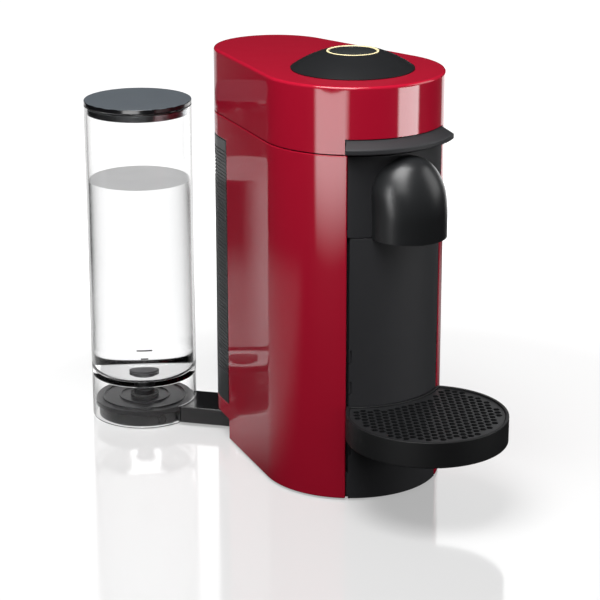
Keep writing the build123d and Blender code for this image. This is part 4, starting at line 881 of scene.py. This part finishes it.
@dataclass
class Front:
    """Black front: lower panel with side channels, upper panel and the bullet-shaped spout cover."""

    plan: Plan
    half: float = math.radians(37.5)
    channel_width: float = 2.1 * MM
    channel_depth: float = 6.0 * MM
    channel_steps: int = 4
    notch_depth: float = 2.2 * MM
    notch_height: float = 10.0 * MM
    notch_middles: tuple[float, ...] = (42.25 * MM, 90.25 * MM, 114.25 * MM)
    notch_steps: int = 2
    wall: float = 3.0 * MM
    panel_gap: float = 0.3 * MM
    nose_radius: float = 28.0 * MM
    nose_offset: float = 3.5 * MM
    nose_straight: float = 16.0 * MM
    nose_tip: float = 20.0 * MM
    nose_steps: int = 64
    flank_steps: int = 20
    tip_steps: int = 14
    outlet_reach: float = 11.0 * MM
    outlet_hole: float = 5.8 * MM
    outlet_depth: float = 8.0 * MM
    outlet_steps: int = 48

    def build(self) -> None:
        """Build the panels and the spout cover."""
        self.build_lower_panel()
        self.build_upper_panel()
        self.build_nose()

    def build_lower_panel(self) -> None:
        """Lower panel with a channel at each side and the rest notches of the cup support."""
        low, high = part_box("front_panel")
        radius = self.plan.front
        edge = self.half - self.channel_width / radius
        notch = self.notch_depth / radius
        lap = self.half + 2 * self.channel_width / radius
        floor = radius - self.channel_depth
        heights = [low.z]
        for middle in self.notch_middles:
            heights += [middle - self.notch_height / 2, middle + self.notch_height / 2]
        heights.append(high.z)
        form = Form()
        path = form.path(floor_plan(low.z), self.plan.ahead(-lap, floor))
        path.turn((0, 0), lap - edge, self.channel_steps).run(self.plan.ahead(-edge, radius))
        path.turn((0, 0), notch, self.notch_steps)
        path.turn((0, 0), 2 * (edge - notch), self.plan.round_steps)
        path.turn((0, 0), notch, self.notch_steps)
        path.run(self.plan.ahead(edge, floor)).turn((0, 0), lap - edge, self.channel_steps)
        form.raise_wall(path.edges, heights)
        form.drop(lambda middle: self.is_notch(middle, edge - notch))
        form.face_away()
        form.piece("lower_panel", Body.HOUSING, BLACK_SATIN, ["front_panel"], wall=self.wall)

    def is_notch(self, middle: Vector, start: float) -> bool:
        """Whether a place on the panel lies in a rest notch."""
        outside = middle.xy.length > self.plan.front - self.wall
        beside = self.plan.bearing(middle) > start
        level = any(abs(middle.z - z) < self.notch_height / 2 for z in self.notch_middles)
        return outside and beside and level

    def build_upper_panel(self) -> None:
        """Upper panel behind the spout cover."""
        low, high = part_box("spout_panel")
        edge = self.half - self.panel_gap / self.plan.front
        form = Form()
        path = form.path(floor_plan(low.z), self.plan.ahead(-edge, self.plan.front))
        path.turn((0, 0), 2 * edge, self.plan.round_steps)
        form.raise_wall(path.edges, (low.z, high.z))
        form.face_away()
        form.piece("upper_panel", Body.HOUSING, BLACK_SATIN, ["spout_panel"], wall=self.wall)

    def build_nose(self) -> None:
        """Spout cover: a bullet shape whose sides end on the round of the panel, with the outlet's hole below."""
        low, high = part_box("spout_cover")
        axis_y = -(self.plan.front + self.nose_offset)
        straight = low.z + self.nose_straight
        tip_z = high.z - straight - self.nose_tip
        flank = (self.nose_radius**2 + tip_z**2 - self.nose_tip**2) / (2 * (self.nose_radius - self.nose_tip))
        join = math.atan2(tip_z, flank - self.nose_radius)
        form = Form()
        sheet = Sheet(Vector((0, axis_y, 0)), Vector((0, 1, 0)), UP)
        path = form.path(sheet, (self.nose_radius, low.z)).run((self.nose_radius, straight))
        path.turn((self.nose_radius - flank, straight), join, self.flank_steps)
        path.turn((0, straight + tip_z), math.pi / 2 - join, self.tip_steps)
        form.lathe(path, steps=2 * self.nose_steps)
        self.round_shoulders(form, axis_y, high.z)
        self.fit_to_panel(form)
        rim = [e for e in form.mesh.edges if e.is_boundary]
        level = floor_plan(low.z, (0, axis_y - self.outlet_reach))
        hole = form.circle(level, self.outlet_hole, self.outlet_steps)
        bmesh.ops.triangle_fill(form.mesh, edges=rim + hole.edges, normal=UP, use_beauty=True)
        top = form.raise_wall(hole.edges, (low.z, low.z + self.outlet_depth))
        bmesh.ops.contextual_create(form.mesh, geom=top)
        form.piece("spout_nose", Body.HOUSING, SPOUT_SATIN, ["spout_cover"], bevel=0.6 * MM)

    def round_shoulders(self, form: Form, axis_y: float, top: float) -> None:
        """Widen the top of the spout cover to a round arch, and leave its sloping front where it is.

        Args:
            form: the spout cover, turned about its axis.
            axis_y: where the axis stands.
            top: the height of the tip.
        """
        for corner in form.mesh.verts:
            reach = math.hypot(corner.co.x, corner.co.y - axis_y)
            rise = corner.co.z - (top - self.nose_radius)
            if reach > SPECK:
                wide = math.sqrt(max(self.nose_radius**2 - max(rise, 0.0) ** 2, reach**2))
                corner.co.x *= wide / reach
                corner.co.y = axis_y + (corner.co.y - axis_y) * wide / reach + wide - reach

    def fit_to_panel(self, form: Form) -> None:
        """Draw the back of the spout cover forward until it lies on the round of the panel."""
        reach = self.plan.front + self.panel_gap / 2
        for corner in form.mesh.verts:
            across = corner.co.x
            if corner.co.xy.length < reach:
                corner.co.y = min(corner.co.y, -math.sqrt(reach**2 - across**2))


@dataclass
class CupSupport:
    """Round cup support with a drip well, a rim and two hooks in the panel's channels."""

    plan: Plan
    radius: float = 60.0 * MM
    centre: float = 99.5 * MM
    back_gap: float = 0.6 * MM
    wall: float = 2.6 * MM
    ledge: float = 2.4 * MM
    ledge_depth: float = 3.2 * MM
    floor: float = 2.5 * MM
    hook_angle: float = math.radians(36.6)
    hook_height: float = 16.0 * MM
    hook_width: float = 1.1 * MM
    hook_reach: float = 5.4 * MM

    def outline(self, form: Form, height: float, inset: float) -> Path:
        """Draw the tray's outline: the round of the tray and the hollow round the housing.

        Args:
            form: the mesh to draw in.
            height: the level of the drawing.
            inset: how far the outline lies inside the tray.

        Returns:
            The closed outline.
        """
        back = self.plan.front + self.back_gap + inset
        radius = self.radius - inset
        meet_y = (radius**2 - back**2 - self.centre**2) / (2 * self.centre)
        meet_x = math.sqrt(back**2 - meet_y**2)
        outer = math.atan2(meet_y + self.centre, meet_x)
        inner = math.atan2(meet_x, -meet_y)
        path = form.path(floor_plan(height), (meet_x, meet_y))
        path.turn((0, -self.centre), -(math.pi + 2 * outer), RING_STEPS)
        return path.turn((0, 0), 2 * inner, self.plan.round_steps).weld()

    def build(self) -> None:
        """Build the tray as one solid with its hooks."""
        low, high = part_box("cup_support")
        ledge = high.z - self.ledge_depth
        terraces = (
            (low.z, 0.0), (high.z, 0.0), (high.z, self.wall), (ledge, self.wall), (ledge, self.wall + self.ledge),
            (low.z + self.floor, self.wall + self.ledge),
        )
        form = Form()
        form.skin(lambda height, inset: self.outline(form, height, inset), terraces)
        self.add_hooks(form, (low.z + high.z) / 2)
        form.piece("cup_tray", Body.SUPPORT, BLACK_MATTE, ["cup_support"], bevel=0.7 * MM)
        dress(GRID_BLACK, "drip_grid")

    def add_hooks(self, form: Form, middle: float) -> None:
        """Add the two hooks that ride in the panel's channels."""
        for side in (-1, 1):
            sheet = floor_plan(middle - self.hook_height / 2, turn=side * self.hook_angle)
            half = self.hook_width / 2
            near, far = -(self.plan.front + 2 * self.back_gap + self.wall), -(self.plan.front - self.hook_reach)
            form.prism(form.rectangle(sheet, -half, half, near, far), self.hook_height)


@dataclass
class Container:
    """Used-capsule container whose ribbed back closes the rear of the housing."""

    plan: Plan
    wall: float = 2.5 * MM
    fascia: float = 3.0 * MM
    half_width: float = 43.0 * MM
    window_gap: float = 0.6 * MM
    rib_pitch: float = 2.8 * MM
    rib_height: float = 1.4 * MM
    rib_depth: float = 0.7 * MM
    rib_start: float = 25.0 * MM
    rib_end: float = 4.0 * MM
    grip_angle: float = math.radians(62.0)
    grip_drop: float = 26.0 * MM
    grip_height: float = 21.0 * MM
    grip_width: float = 13.0 * MM
    grip_depth: float = 3.5 * MM
    round_steps: int = 120

    def build(self) -> None:
        """Build the ribbed back and the box in front of it."""
        self.build_back()
        self.build_box()

    def build_back(self) -> None:
        """Ribbed back with a finger recess at each side."""
        low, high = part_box("capsule_container")
        outer, groove = self.plan.rear, self.plan.rear - self.rib_depth
        start = self.plan.taper
        lead = (self.plan.window_lead - self.window_gap) / math.cos(start)
        form = Form()
        path = form.path(half_section((0, self.plan.spacing), start), (outer - self.fascia, low.z))
        path.run((outer, low.z))
        count = int((high.z - low.z - self.rib_start - self.rib_end) / self.rib_pitch)
        for rib in range(count):
            base = low.z + self.rib_start + rib * self.rib_pitch
            top = base + self.rib_pitch - self.rib_height
            path.run((outer, base), (groove, base), (groove, top), (outer, top))
        path.run((outer, high.z), (outer - self.fascia, high.z)).close()
        form.sweep_solid(path, math.pi - 2 * start, self.round_steps)
        self.lengthen(form, lead)
        self.press_grips(form, high.z - self.grip_drop)
        form.piece(
            "container_back", Body.CONTAINER, CONTAINER_BLACK, ["capsule_container"], bevel=0.0,
        )

    def lengthen(self, form: Form, lead: float) -> None:
        """Carry both ends of the ribbed back, its only faces of many corners, forward along the flanks."""
        form.turn_outwards()
        for end in [f for f in form.mesh.faces if len(f.verts) > 4]:
            form.push([end], end.normal * lead)
            bmesh.ops.delete(form.mesh, geom=[end], context="FACES_ONLY")

    def press_grips(self, form: Form, height: float) -> None:
        """Press an oval finger recess into each side of the back."""
        centre = Vector((0, self.plan.spacing))
        inside = self.plan.rear - 2 * self.rib_depth
        for corner in form.mesh.verts:
            arm = corner.co.xy - centre
            if arm.length < inside:
                continue
            turn = abs(math.atan2(arm.x, arm.y)) - self.grip_angle
            across = turn * self.plan.rear / (self.grip_width / 2)
            along = (corner.co.z - height) / (self.grip_height / 2)
            depth = 1 - across**2 - along**2
            if depth > 0:
                radius = inside - (self.grip_depth - self.rib_depth) * math.sqrt(depth)
                corner.co.xy = centre + arm.normalized() * radius

    def build_box(self) -> None:
        """Open box that the capsules fall into."""
        low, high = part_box("capsule_container")
        rear = self.plan.spacing + math.sqrt((self.plan.rear - self.fascia) ** 2 - self.half_width**2)
        form = Form()
        path = form.path(floor_plan(low.z), (-self.half_width, rear))
        path.run((-self.half_width, low.y), (self.half_width, low.y), (self.half_width, rear))
        form.raise_wall(path.edges, (low.z, high.z))
        form.face_away(self.plan.spacing)
        form.piece("container_box", Body.CONTAINER, DARK_PLASTIC, wall=self.wall)


@dataclass
class Tank:
    """Clear water tank with its lid, the water in it and its seat on the swivel arm."""

    plan: Plan
    radius: float = 43.0 * MM
    wall: float = 2.0 * MM
    floor_low: float = 38.0 * MM
    floor_high: float = 40.5 * MM
    floor_round: float = 7.0 * MM
    floor_steps: int = 8
    notch_half: float = math.radians(30.9)
    notch_top: float = 17.1 * MM
    level_lines: tuple[tuple[float, float], ...] = ((70.0 * MM, 12.5 * MM), (63.0 * MM, 6.0 * MM))
    level_turn: float = math.radians(-118.0)
    line_width: float = 1.1 * MM
    line_depth: float = 0.08 * MM
    line_steps: int = 12
    valve_radius: float = 9.0 * MM
    water_gap: float = 0.12 * MM
    water_top: float = 203.0 * MM
    lid_skirt: float = 2.0 * MM
    band_depth: float = 1.85 * MM
    seat_step: float = 1.2 * MM
    seat_rings: tuple[float, ...] = (0.86, 0.52)

    def __post_init__(self) -> None:
        """Take the tank's axis from its lid's box, and the direction of the arm from the axis."""
        low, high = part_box("tank_lid")
        self.axis = ((low + high) / 2).xy
        self.arm_turn = math.atan2(self.plan.spacing - self.axis.y, -self.axis.x)

    def build(self) -> None:
        """Build the tank, the water, the lid and the seat."""
        self.build_tank()
        self.build_level_lines()
        self.build_water()
        self.build_lid()
        self.build_seat()

    def build_tank(self) -> None:
        """Clear cylinder with a raised floor, and a skirt with a notch for the arm."""
        low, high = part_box("water_tank")
        bore = self.radius - self.wall
        form = Form()
        path = form.path(half_section(self.axis, self.arm_turn), (0, self.floor_low))
        path.run((bore, self.floor_low), (bore, self.notch_top), (bore, low.z), (self.radius, low.z))
        path.run((self.radius, self.notch_top), (self.radius, high.z), (bore, high.z))
        form.lathe(self.draw_floor(path, bore, self.floor_high))
        form.drop(self.in_notch)
        middle = self.radius - self.wall / 2
        open_edges = [e for e in form.mesh.edges if e.is_boundary]
        sides = [e for e in open_edges if len({(v.co.xy - self.axis).length > middle for v in e.verts}) == 1]
        bmesh.ops.bridge_loops(form.mesh, edges=sides)
        form.piece("tank_wall", Body.TANK, CLEAR_PLASTIC, ["water_tank"], bevel=0.3 * MM)

    def draw_floor(self, path: Path, bore: float, floor: float) -> Path:
        """Draw on down a bore and round to the middle of a floor.

        Args:
            path: the half section so far.
            bore: the bore's radius.
            floor: the floor's height.

        Returns:
            The same path.
        """
        path.run((bore, floor + self.floor_round))
        path.turn((bore - self.floor_round, floor + self.floor_round), -math.pi / 2, self.floor_steps)
        return path.run((0, floor))

    def in_notch(self, middle: Vector) -> bool:
        """Whether a place on the skirt lies in the arm's notch."""
        arm = middle.xy - self.axis
        turn = math.remainder(math.atan2(arm.y, arm.x) - self.arm_turn, 2 * math.pi)
        return middle.z < self.notch_top and abs(turn) < self.notch_half

    def build_level_lines(self) -> None:
        """Two printed level lines on the side of the tank that faces the user."""
        for height, length in self.level_lines:
            span = length / self.radius
            form = Form()
            sheet = half_section(self.axis, self.level_turn - span / 2)
            low, high = height - self.line_width / 2, height + self.line_width / 2
            path = form.rectangle(sheet, self.radius - self.line_depth, self.radius + self.line_depth, low, high)
            form.sweep_solid(path, span, self.line_steps)
            name = f"level_line_{height / MM:.0f}"
            form.piece(name, Body.TANK, PRINT_GREY, bevel=0.0)

    def build_water(self) -> None:
        """Water in the tank, with a satin top face that shows as an even grey."""
        bore = self.radius - self.wall - self.water_gap
        form = Form()
        path = form.path(half_section(self.axis), (0, self.water_top)).run((bore, self.water_top))
        form.lathe(self.draw_floor(path, bore, self.floor_high + self.water_gap))
        form.piece(
            "tank_water", Body.TANK, WATER, bevel=0.0, accent=WATER_FACE,
            has_accent=lambda middle: middle.z > self.water_top - self.water_gap,
        )

    def build_lid(self) -> None:
        """Flat lid with a skirt, a bright band and a seal. The top's grey is painted sheen."""
        low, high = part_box("tank_lid")
        band_low, band_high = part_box("lid_band")
        _, seal_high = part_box("lid_seal")
        skirt, underside = (band_high.x - band_low.x) / 2 - self.band_depth, seal_high.z
        inner, ceiling = skirt - self.lid_skirt, underside - self.wall
        form = Form()
        path = form.path(half_section(self.axis), (0, high.z)).run((self.radius, high.z), (self.radius, underside))
        path.run((skirt, underside), (skirt, low.z), (inner, low.z), (inner, ceiling), (0, ceiling))
        form.lathe(path)
        # the top's grey is painted sheen; the faces below the top's step are black gloss
        form.piece(
            "lid_disc", Body.LID, replace(PAINTED_SHEEN_LID_TOP, ring_centre=tuple(self.axis)), ["tank_lid"],
            bevel=0.6 * MM, accent=BLACK_GLOSS, has_accent=lambda middle: middle.z < high.z - self.seat_step,
        )
        for name, slot, trim, node in (
            ("lid_bright_band", "chrome", CHROME, "lid_band"), ("lid_gasket", "rubber", RUBBER, "lid_seal"),
        ):
            trim_low, trim_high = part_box(node)
            radius = (trim_high.x - trim_low.x) / 2
            form = Form()
            form.lathe(form.rectangle(half_section(self.axis), skirt, radius, trim_low.z, trim_high.z))
            form.piece(name, Body.LID, trim, [node], bevel=0.3 * MM)

    def build_seat(self) -> None:
        """Seat disc with raised rings and the coupling."""
        low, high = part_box("tank_seat")
        seal_low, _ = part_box("seat_seal")
        radius, top, step = (high.x - low.x) / 2, seal_low.z, self.seat_step
        coupling, bore = self.valve_radius, self.valve_radius - 2 * step
        form = Form()
        path = form.path(half_section(self.axis), (0, low.z)).run((radius, low.z), (radius, top))
        for share in self.seat_rings:
            edge = radius * share
            path.run((edge, top), (edge, top + step), (edge - step, top + step), (edge - step, top))
        path.run((coupling, top), (coupling, high.z), (bore, high.z), (bore, high.z - step), (0, high.z - step))
        form.lathe(path)
        form.piece(
            "seat_plate", Body.ARM, replace(SEAT_GLOSS, ring_centre=tuple(self.axis)), ["tank_seat"],
            bevel=0.3 * MM,
        )


@dataclass
class SwivelArm:
    """Arm from the swivel pin under the housing to the tank's base."""

    plan: Plan
    hub: float = 24.0 * MM
    half: float = 20.0 * MM
    base: float = 38.0 * MM
    recess: float = 40.7 * MM
    base_top: float = 12.5 * MM
    hub_steps: int = 64
    recess_steps: int = 24
    edge: float = 1.3 * MM
    port_turn: float = math.radians(-97.6)
    port_radius: float = 3.6 * MM
    port_lip: float = 0.5 * MM
    port_sink: float = 1.2 * MM
    port_steps: int = 40

    def build(self, axis: Vector) -> None:
        """Build the arm.

        Args:
            axis: the tank's axis in plan.
        """
        low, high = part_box("swivel_arm")
        pivot = Vector((0, self.plan.spacing))
        reach = (axis - pivot).length
        turn = math.atan2(axis.y - pivot.y, axis.x - pivot.x) - math.pi / 2
        sheet = floor_plan(low.z, pivot, turn)
        near = math.sqrt(self.hub**2 - self.half**2)
        far = reach - math.sqrt(self.recess**2 - self.half**2)
        bow = 2 * math.asin(self.half / self.recess)
        wrap = 2 * math.pi - 2 * math.atan2(self.half, near)
        form = Form()
        path = form.path(sheet, (self.half, near)).run((self.half, far))
        path.turn((0, reach), -bow, self.recess_steps).run((-self.half, near))
        form.prism(path.turn((0, 0), wrap, self.hub_steps).weld(), high.z - low.z)
        foot = form.path(half_section(axis), (0, low.z))
        form.lathe(foot.run((self.base, low.z), (self.base, self.base_top), (0, self.base_top)))
        form.piece("arm_beam", Body.ARM, BLACK_GLOSS, ["swivel_arm"], bevel=self.edge)
        self.build_port(axis, (low.z + self.base_top) / 2)

    def build_port(self, axis: Vector, height: float) -> None:
        """Round blind port in the wall of the tank's base.

        Args:
            axis: the tank's axis in plan.
            height: the height of its middle.
        """
        outward = level_way(self.port_turn)
        sheet = Sheet(Vector((*axis, height)) + outward * self.base, UP, outward)
        lip, sink = self.port_lip, self.port_sink
        form = Form()
        path = form.path(sheet, (0, -sink)).run((self.port_radius - lip, -sink), (self.port_radius - lip, lip))
        path.run((self.port_radius, lip), (self.port_radius, -2 * sink), (0, -2 * sink))
        form.lathe(path, steps=self.port_steps)
        form.piece("base_port", Body.ARM, RUBBER, bevel=0.15 * MM)


@dataclass
class Works:
    """Inner pieces and small fittings that keep their solid shapes."""

    finishes: tuple[tuple[Finish, tuple[str, ...]], ...] = (
        (DARK_PLASTIC, ("base_plate", "chassis", "top_deck", "head_frame", "brew_bowl", "coffee_outlet", "injector",
                        "flow_meter", "opening_motor", "tank_valve")),
        (STEEL, ("hinge_pin", "lever_pin", "swivel_pin", "drum_shaft", "drum_bearing", "base_screws",
                 "hinge_sector", "drive_motor", "capsule_clamp")),
        (DRUM_GREY, ("capsule_drum", "opening_pinion")),
        (CAST_METAL, ("heater_block",)),
        (COIL_CASE, ("water_pump",)),
        (BOARD_GREEN, ("control_board", "head_board")),
        (SILICONE, ("suction_hose", "feed_hose", "pressure_hose", "brew_hose")),
        (RUBBER, ("base_feet", "arm_feet", "seat_seal", "pump_mounts", "cord_gland")),
    )

    def build(self) -> None:
        """Dress each solid in its finish."""
        for finish, nodes in self.finishes:
            dress(finish, *nodes)


# The studio


@dataclass(frozen=True)
class Softbox:
    """An area light that faces a point of the machine and that the camera doesn't see.

    angle is in degrees to the right of straight ahead, and radiance 1 is the brightness of white paper. A card
    that is gloss_only shows in glossy surfaces and lights nothing else. The light falls on the piece named by only,
    or on all but the pieces named by skips.
    """

    name: str
    angle: float
    distance: float
    low: float
    high: float
    width: float
    radiance: float
    target: float
    fade_low: float = 0.15
    fade_side: float = 0.15
    gloss_only: bool = True
    only: str = ""
    skips: tuple[str, ...] = ("floor",)

    def build(self) -> None:
        """Add the light, turned to its target height on the front axis."""
        tall = self.high - self.low
        data = bpy.data.lights.new(self.name, "AREA")
        data.shape = "RECTANGLE"
        data.size, data.size_y = self.width, tall
        data.energy = self.radiance * math.pi * self.width * tall
        self.soften(data)
        made = add_object(self.name, data)
        turn = math.radians(self.angle)
        made.location = (self.distance * math.sin(turn), -self.distance * math.cos(turn), (self.low + self.high) / 2)
        made.rotation_euler = (Vector((0, 0, self.target)) - made.location).to_track_quat("-Z", "Y").to_euler()
        made.visible_camera = False
        made.visible_diffuse = not self.gloss_only
        self.link(made)

    def link(self, made: Object) -> None:
        """Keep the light on the one piece, or off the pieces that it skips."""
        receivers = bpy.data.collections.new(self.name + "_receivers")
        for name in [self.only] if self.only else self.skips:
            receivers.objects.link(bpy.data.objects[name])
        for entry in receivers.collection_objects:
            entry.light_linking.link_state = "INCLUDE" if self.only else "EXCLUDE"
        made.light_linking.receiver_collection = receivers

    def soften(self, data: Light) -> None:
        """Fade the light towards its lower edge and its sides."""
        tree = Tree(data)
        place = tree.wire("ShaderNodeNewGeometry", output="Parametric")
        split = tree.node("ShaderNodeSeparateXYZ", {0: place}).outputs
        across, up = Wire(tree, split[0]), Wire(tree, split[1])
        level = tree.ramp(up, 0.0, self.fade_low)
        level = level * tree.ramp(across, 0.0, self.fade_side) * tree.ramp(across, 1.0, 1 - self.fade_side)
        tree.surface(tree.node("ShaderNodeEmission", {"Color": level}), "ShaderNodeOutputLight")


@dataclass
class Studio:
    """Camera, soft lights, white surroundings and a pale floor.

    fill is the brightness of the surroundings as light, glossy as a reflection, and mirrored as a reflection in or
    behind clear pieces. A pair of numbers says where a smooth step starts and where it ends.
    """

    eye: tuple[float, float, float] = (-0.851076, -1.223949, 0.615611)
    azimuth: float = math.radians(33.32)
    pitch: float = math.radians(17.83)
    focal_pixels: float = 2049.0
    image_pixels: float = 600.0
    sensor: float = 36.0
    fill: float = 0.22
    glossy: float = 0.012
    mirrored: float = 0.75
    floor_size: float = 16.0
    floor_colour: float = 0.42
    floor_near: float = 0.40
    floor_far: float = 1.0
    floor_spread: tuple[float, float] = (0.32, 0.60)
    floor_ahead: tuple[float, float] = (0.30, 0.50)
    floor_roughness: float = 0.09
    floor_ior: float = 2.1
    # painted light on the floor as reflections and bounce light see it: a pale patch behind the machine, dark
    # elsewhere
    painted_patch_spread: tuple[float, float] = (0.72, 0.55)
    painted_patch_depth: tuple[float, float] = (0.0, 0.16)
    painted_patch_shades: tuple[float, float] = (0.025, 0.58)
    mirror_slants: tuple[float, float] = (0.95, 0.6)
    tank_axis: tuple[float, float] = (-0.07775, 0.18837)
    backdrop_slants: tuple[float, float] = (0.25, 1.10)
    backdrop_back: float = 1.12
    backdrop_side: float = 0.66
    least_ahead: float = 0.05
    lights: tuple[Softbox, ...] = (
        Softbox("key_softbox", angle=-62, distance=0.42, low=0.80, high=1.50, width=0.80, radiance=10.5, target=0.25,
                gloss_only=False, skips=()),
        Softbox("left_card", angle=-59, distance=0.62, low=0.00, high=0.20, width=0.50, radiance=6.0, target=0.0,
                fade_low=0.65, skips=("floor", "spout_nose", "tank_wall", "lever_lip", "upper_panel", "lower_panel")),
        Softbox("front_softbox", angle=-48, distance=0.64, low=0.55, high=0.85, width=0.50, radiance=3.6, target=0.25,
                gloss_only=False),
        Softbox("right_card", angle=35, distance=0.62, low=0.125, high=0.23, width=0.38, radiance=9.0, target=0.125,
                gloss_only=False, skips=("floor", "spout_nose")),
        Softbox("side_softbox", angle=62, distance=0.80, low=0.30, high=0.90, width=0.60, radiance=2.4, target=0.25,
                gloss_only=False),
        Softbox("rim_card", angle=118, distance=0.62, low=0.02, high=0.30, width=0.40, radiance=1.6, target=0.02,
                gloss_only=False),
        Softbox("spout_strip", angle=-81, distance=0.60, low=0.08, high=0.52, width=0.12, radiance=22.0, target=0.23,
                fade_low=0.35, fade_side=0.5, only="spout_nose"),
        Softbox("rib_card", angle=-165, distance=0.80, low=0.05, high=0.65, width=0.60, radiance=8.0, target=0.20,
                only="container_back"),
        Softbox("floor_card", angle=147, distance=1.3, low=0.0, high=1.4, width=2.2, radiance=1.3, target=0.7,
                only="floor"),
    )

    def build(self) -> None:
        """Set up the camera, the lights, the world and the floor."""
        bpy.context.scene.view_settings.view_transform = "Standard"
        self.build_camera()
        self.build_world()
        self.build_floor()
        for light in self.lights:
            light.build()

    def build_camera(self) -> None:
        """Camera at the photograph's viewing angle."""
        data = bpy.data.cameras.new("camera")
        data.sensor_width = self.sensor
        data.lens = self.focal_pixels * self.sensor / self.image_pixels
        made = add_object("camera", data)
        made.location = self.eye
        made.rotation_euler = (math.pi / 2 - self.pitch, 0, -self.azimuth)
        bpy.context.scene.camera = made

    def rays(self, tree: Tree) -> tuple[Wire, Wire, Wire, Wire]:
        """Tell the camera's rays from the others.

        Args:
            tree: the node tree to add nodes to.

        Returns:
            1 for rays straight from the camera, 1 for rays out of clear pieces, 1 for those of them that have
            bounced off nothing, and 1 for mirrored rays.
        """
        path = tree.node("ShaderNodeLightPath").outputs
        camera, clear = Wire(tree, path["Is Camera Ray"]), Wire(tree, path["Is Transmission Ray"])
        mirrored = Wire(tree, path["Glossy Depth"]).minimum(1.0)
        bounced = (Wire(tree, path["Diffuse Depth"]) + mirrored).minimum(1.0)
        return camera, clear, clear * (1 - bounced), mirrored

    def backdrop(self, tree: Tree, way: Wire) -> tuple[Wire, Wire]:
        """Brightness of the backdrop in a direction: white straight behind the tank, and grey to its sides.

        Args:
            tree: the node tree to add nodes to.
            way: the direction.

        Returns:
            The brightness, and 1 for directions near enough to the camera's to be mirrored white.
        """
        along = self.view_way()
        across = (along[1], -along[0], 0.0)
        ahead = tree.dot(way, along)
        aside = tree.dot(way, across).absolute() + (0 - ahead).maximum(0.0)
        slant = aside / ahead.maximum(self.least_ahead)
        side = tree.ramp(slant, *self.backdrop_slants)
        brightness = self.backdrop_back - side * (self.backdrop_back - self.backdrop_side)
        return brightness, tree.ramp(slant, *self.mirror_slants)

    def view_way(self) -> tuple[float, float, float]:
        """Level direction that the camera looks in."""
        return math.sin(self.azimuth), math.cos(self.azimuth), 0.0

    def build_world(self) -> None:
        """Surroundings that are white to the camera and behind clear pieces, and dimmer as fill light."""
        world = bpy.data.worlds.new("studio")
        bpy.context.scene.world = world
        tree = Tree(world)
        camera, clear, through, mirrored = self.rays(tree)
        behind, _ = self.backdrop(tree, tree.wire("ShaderNodeTexCoord", output="Generated"))
        mirror = self.glossy + clear * (self.mirrored - self.glossy)
        other = self.fill + mirrored * (mirror - self.fill)
        level = other + through * (behind - other)
        shade = tree.node("ShaderNodeBackground", {"Color": level + camera * (1 - level)})
        tree.surface(shade, "ShaderNodeOutputWorld")

    def build_floor(self) -> None:
        """Flat floor under the machine."""
        form = bmesh.new()
        bmesh.ops.create_grid(form, x_segments=1, y_segments=1, size=self.floor_size / 2)
        data = bpy.data.meshes.new("floor")
        form.to_mesh(data)
        form.free()
        made = add_object("floor", data)
        material = bpy.data.materials.new("pale_floor")
        tree = Tree(material)
        tree.surface(self.floor_shader(tree))
        data.materials.append(material)

    def floor_shader(self, tree: Tree) -> Node:
        """Pale floor, white to the camera, that keeps the machine's shadow and a faint reflection. To other rays it is
        dark, with a painted pale patch of light behind the machine.

        Args:
            tree: the floor's node tree.

        Returns:
            The shader.
        """
        place = tree.place()
        spread = tree.vector("LENGTH", place, output="Value")
        depth = tree.wire("ShaderNodeSeparateXYZ", {0: place}, output="Y")
        # painted pool of light: near the machine and behind it
        patch = tree.ramp(spread, *self.painted_patch_spread) * tree.ramp(depth, *self.painted_patch_depth)
        camera, clear, through, mirrored = self.rays(tree)
        way = tree.vector("SUBTRACT", place, (*self.tank_axis, 0.0))
        behind, near = self.backdrop(tree, way)
        ahead = tree.ramp(tree.dot(way, self.view_way()), *self.floor_ahead).maximum(clear) * near
        far = tree.ramp(spread, *self.floor_spread)
        sheen = tree.node("ShaderNodeBsdfPrincipled", {
            "Base Color": (self.floor_colour, self.floor_colour, self.floor_colour, 1.0),
            "Roughness": self.floor_roughness,
            "IOR": self.floor_ior,
            "Emission Color": self.floor_near + far * (self.floor_far - self.floor_near),
            "Emission Strength": 1.0,
        })
        dark, pale = ((shade, shade, shade) for shade in self.painted_patch_shades)
        # the floor as seen in reflections and bounce light: dark, with the painted pale patch of light
        bounce = tree.node("ShaderNodeBsdfDiffuse", {"Color": tree.blend(patch, dark, pale)})
        glow = tree.node("ShaderNodeEmission", {"Color": behind})
        white = (through + mirrored * ahead * self.mirrored).minimum(1.0)
        return tree.mix(white, tree.mix(camera, bounce, sheen), glow)


def main() -> None:
    """Build the machine and the studio."""
    logging.basicConfig(level=logging.INFO, format="%(name)s: %(message)s")
    plan = Plan.from_frame()
    tank = Tank(plan)
    BodyShell(plan).build()
    Head(plan).build()
    Front(plan).build()
    CupSupport(plan).build()
    Container(plan).build()
    tank.build()
    SwivelArm(plan).build(tank.axis)
    Works().build()
    Studio().build()


if __name__ == "__main__":
    main()
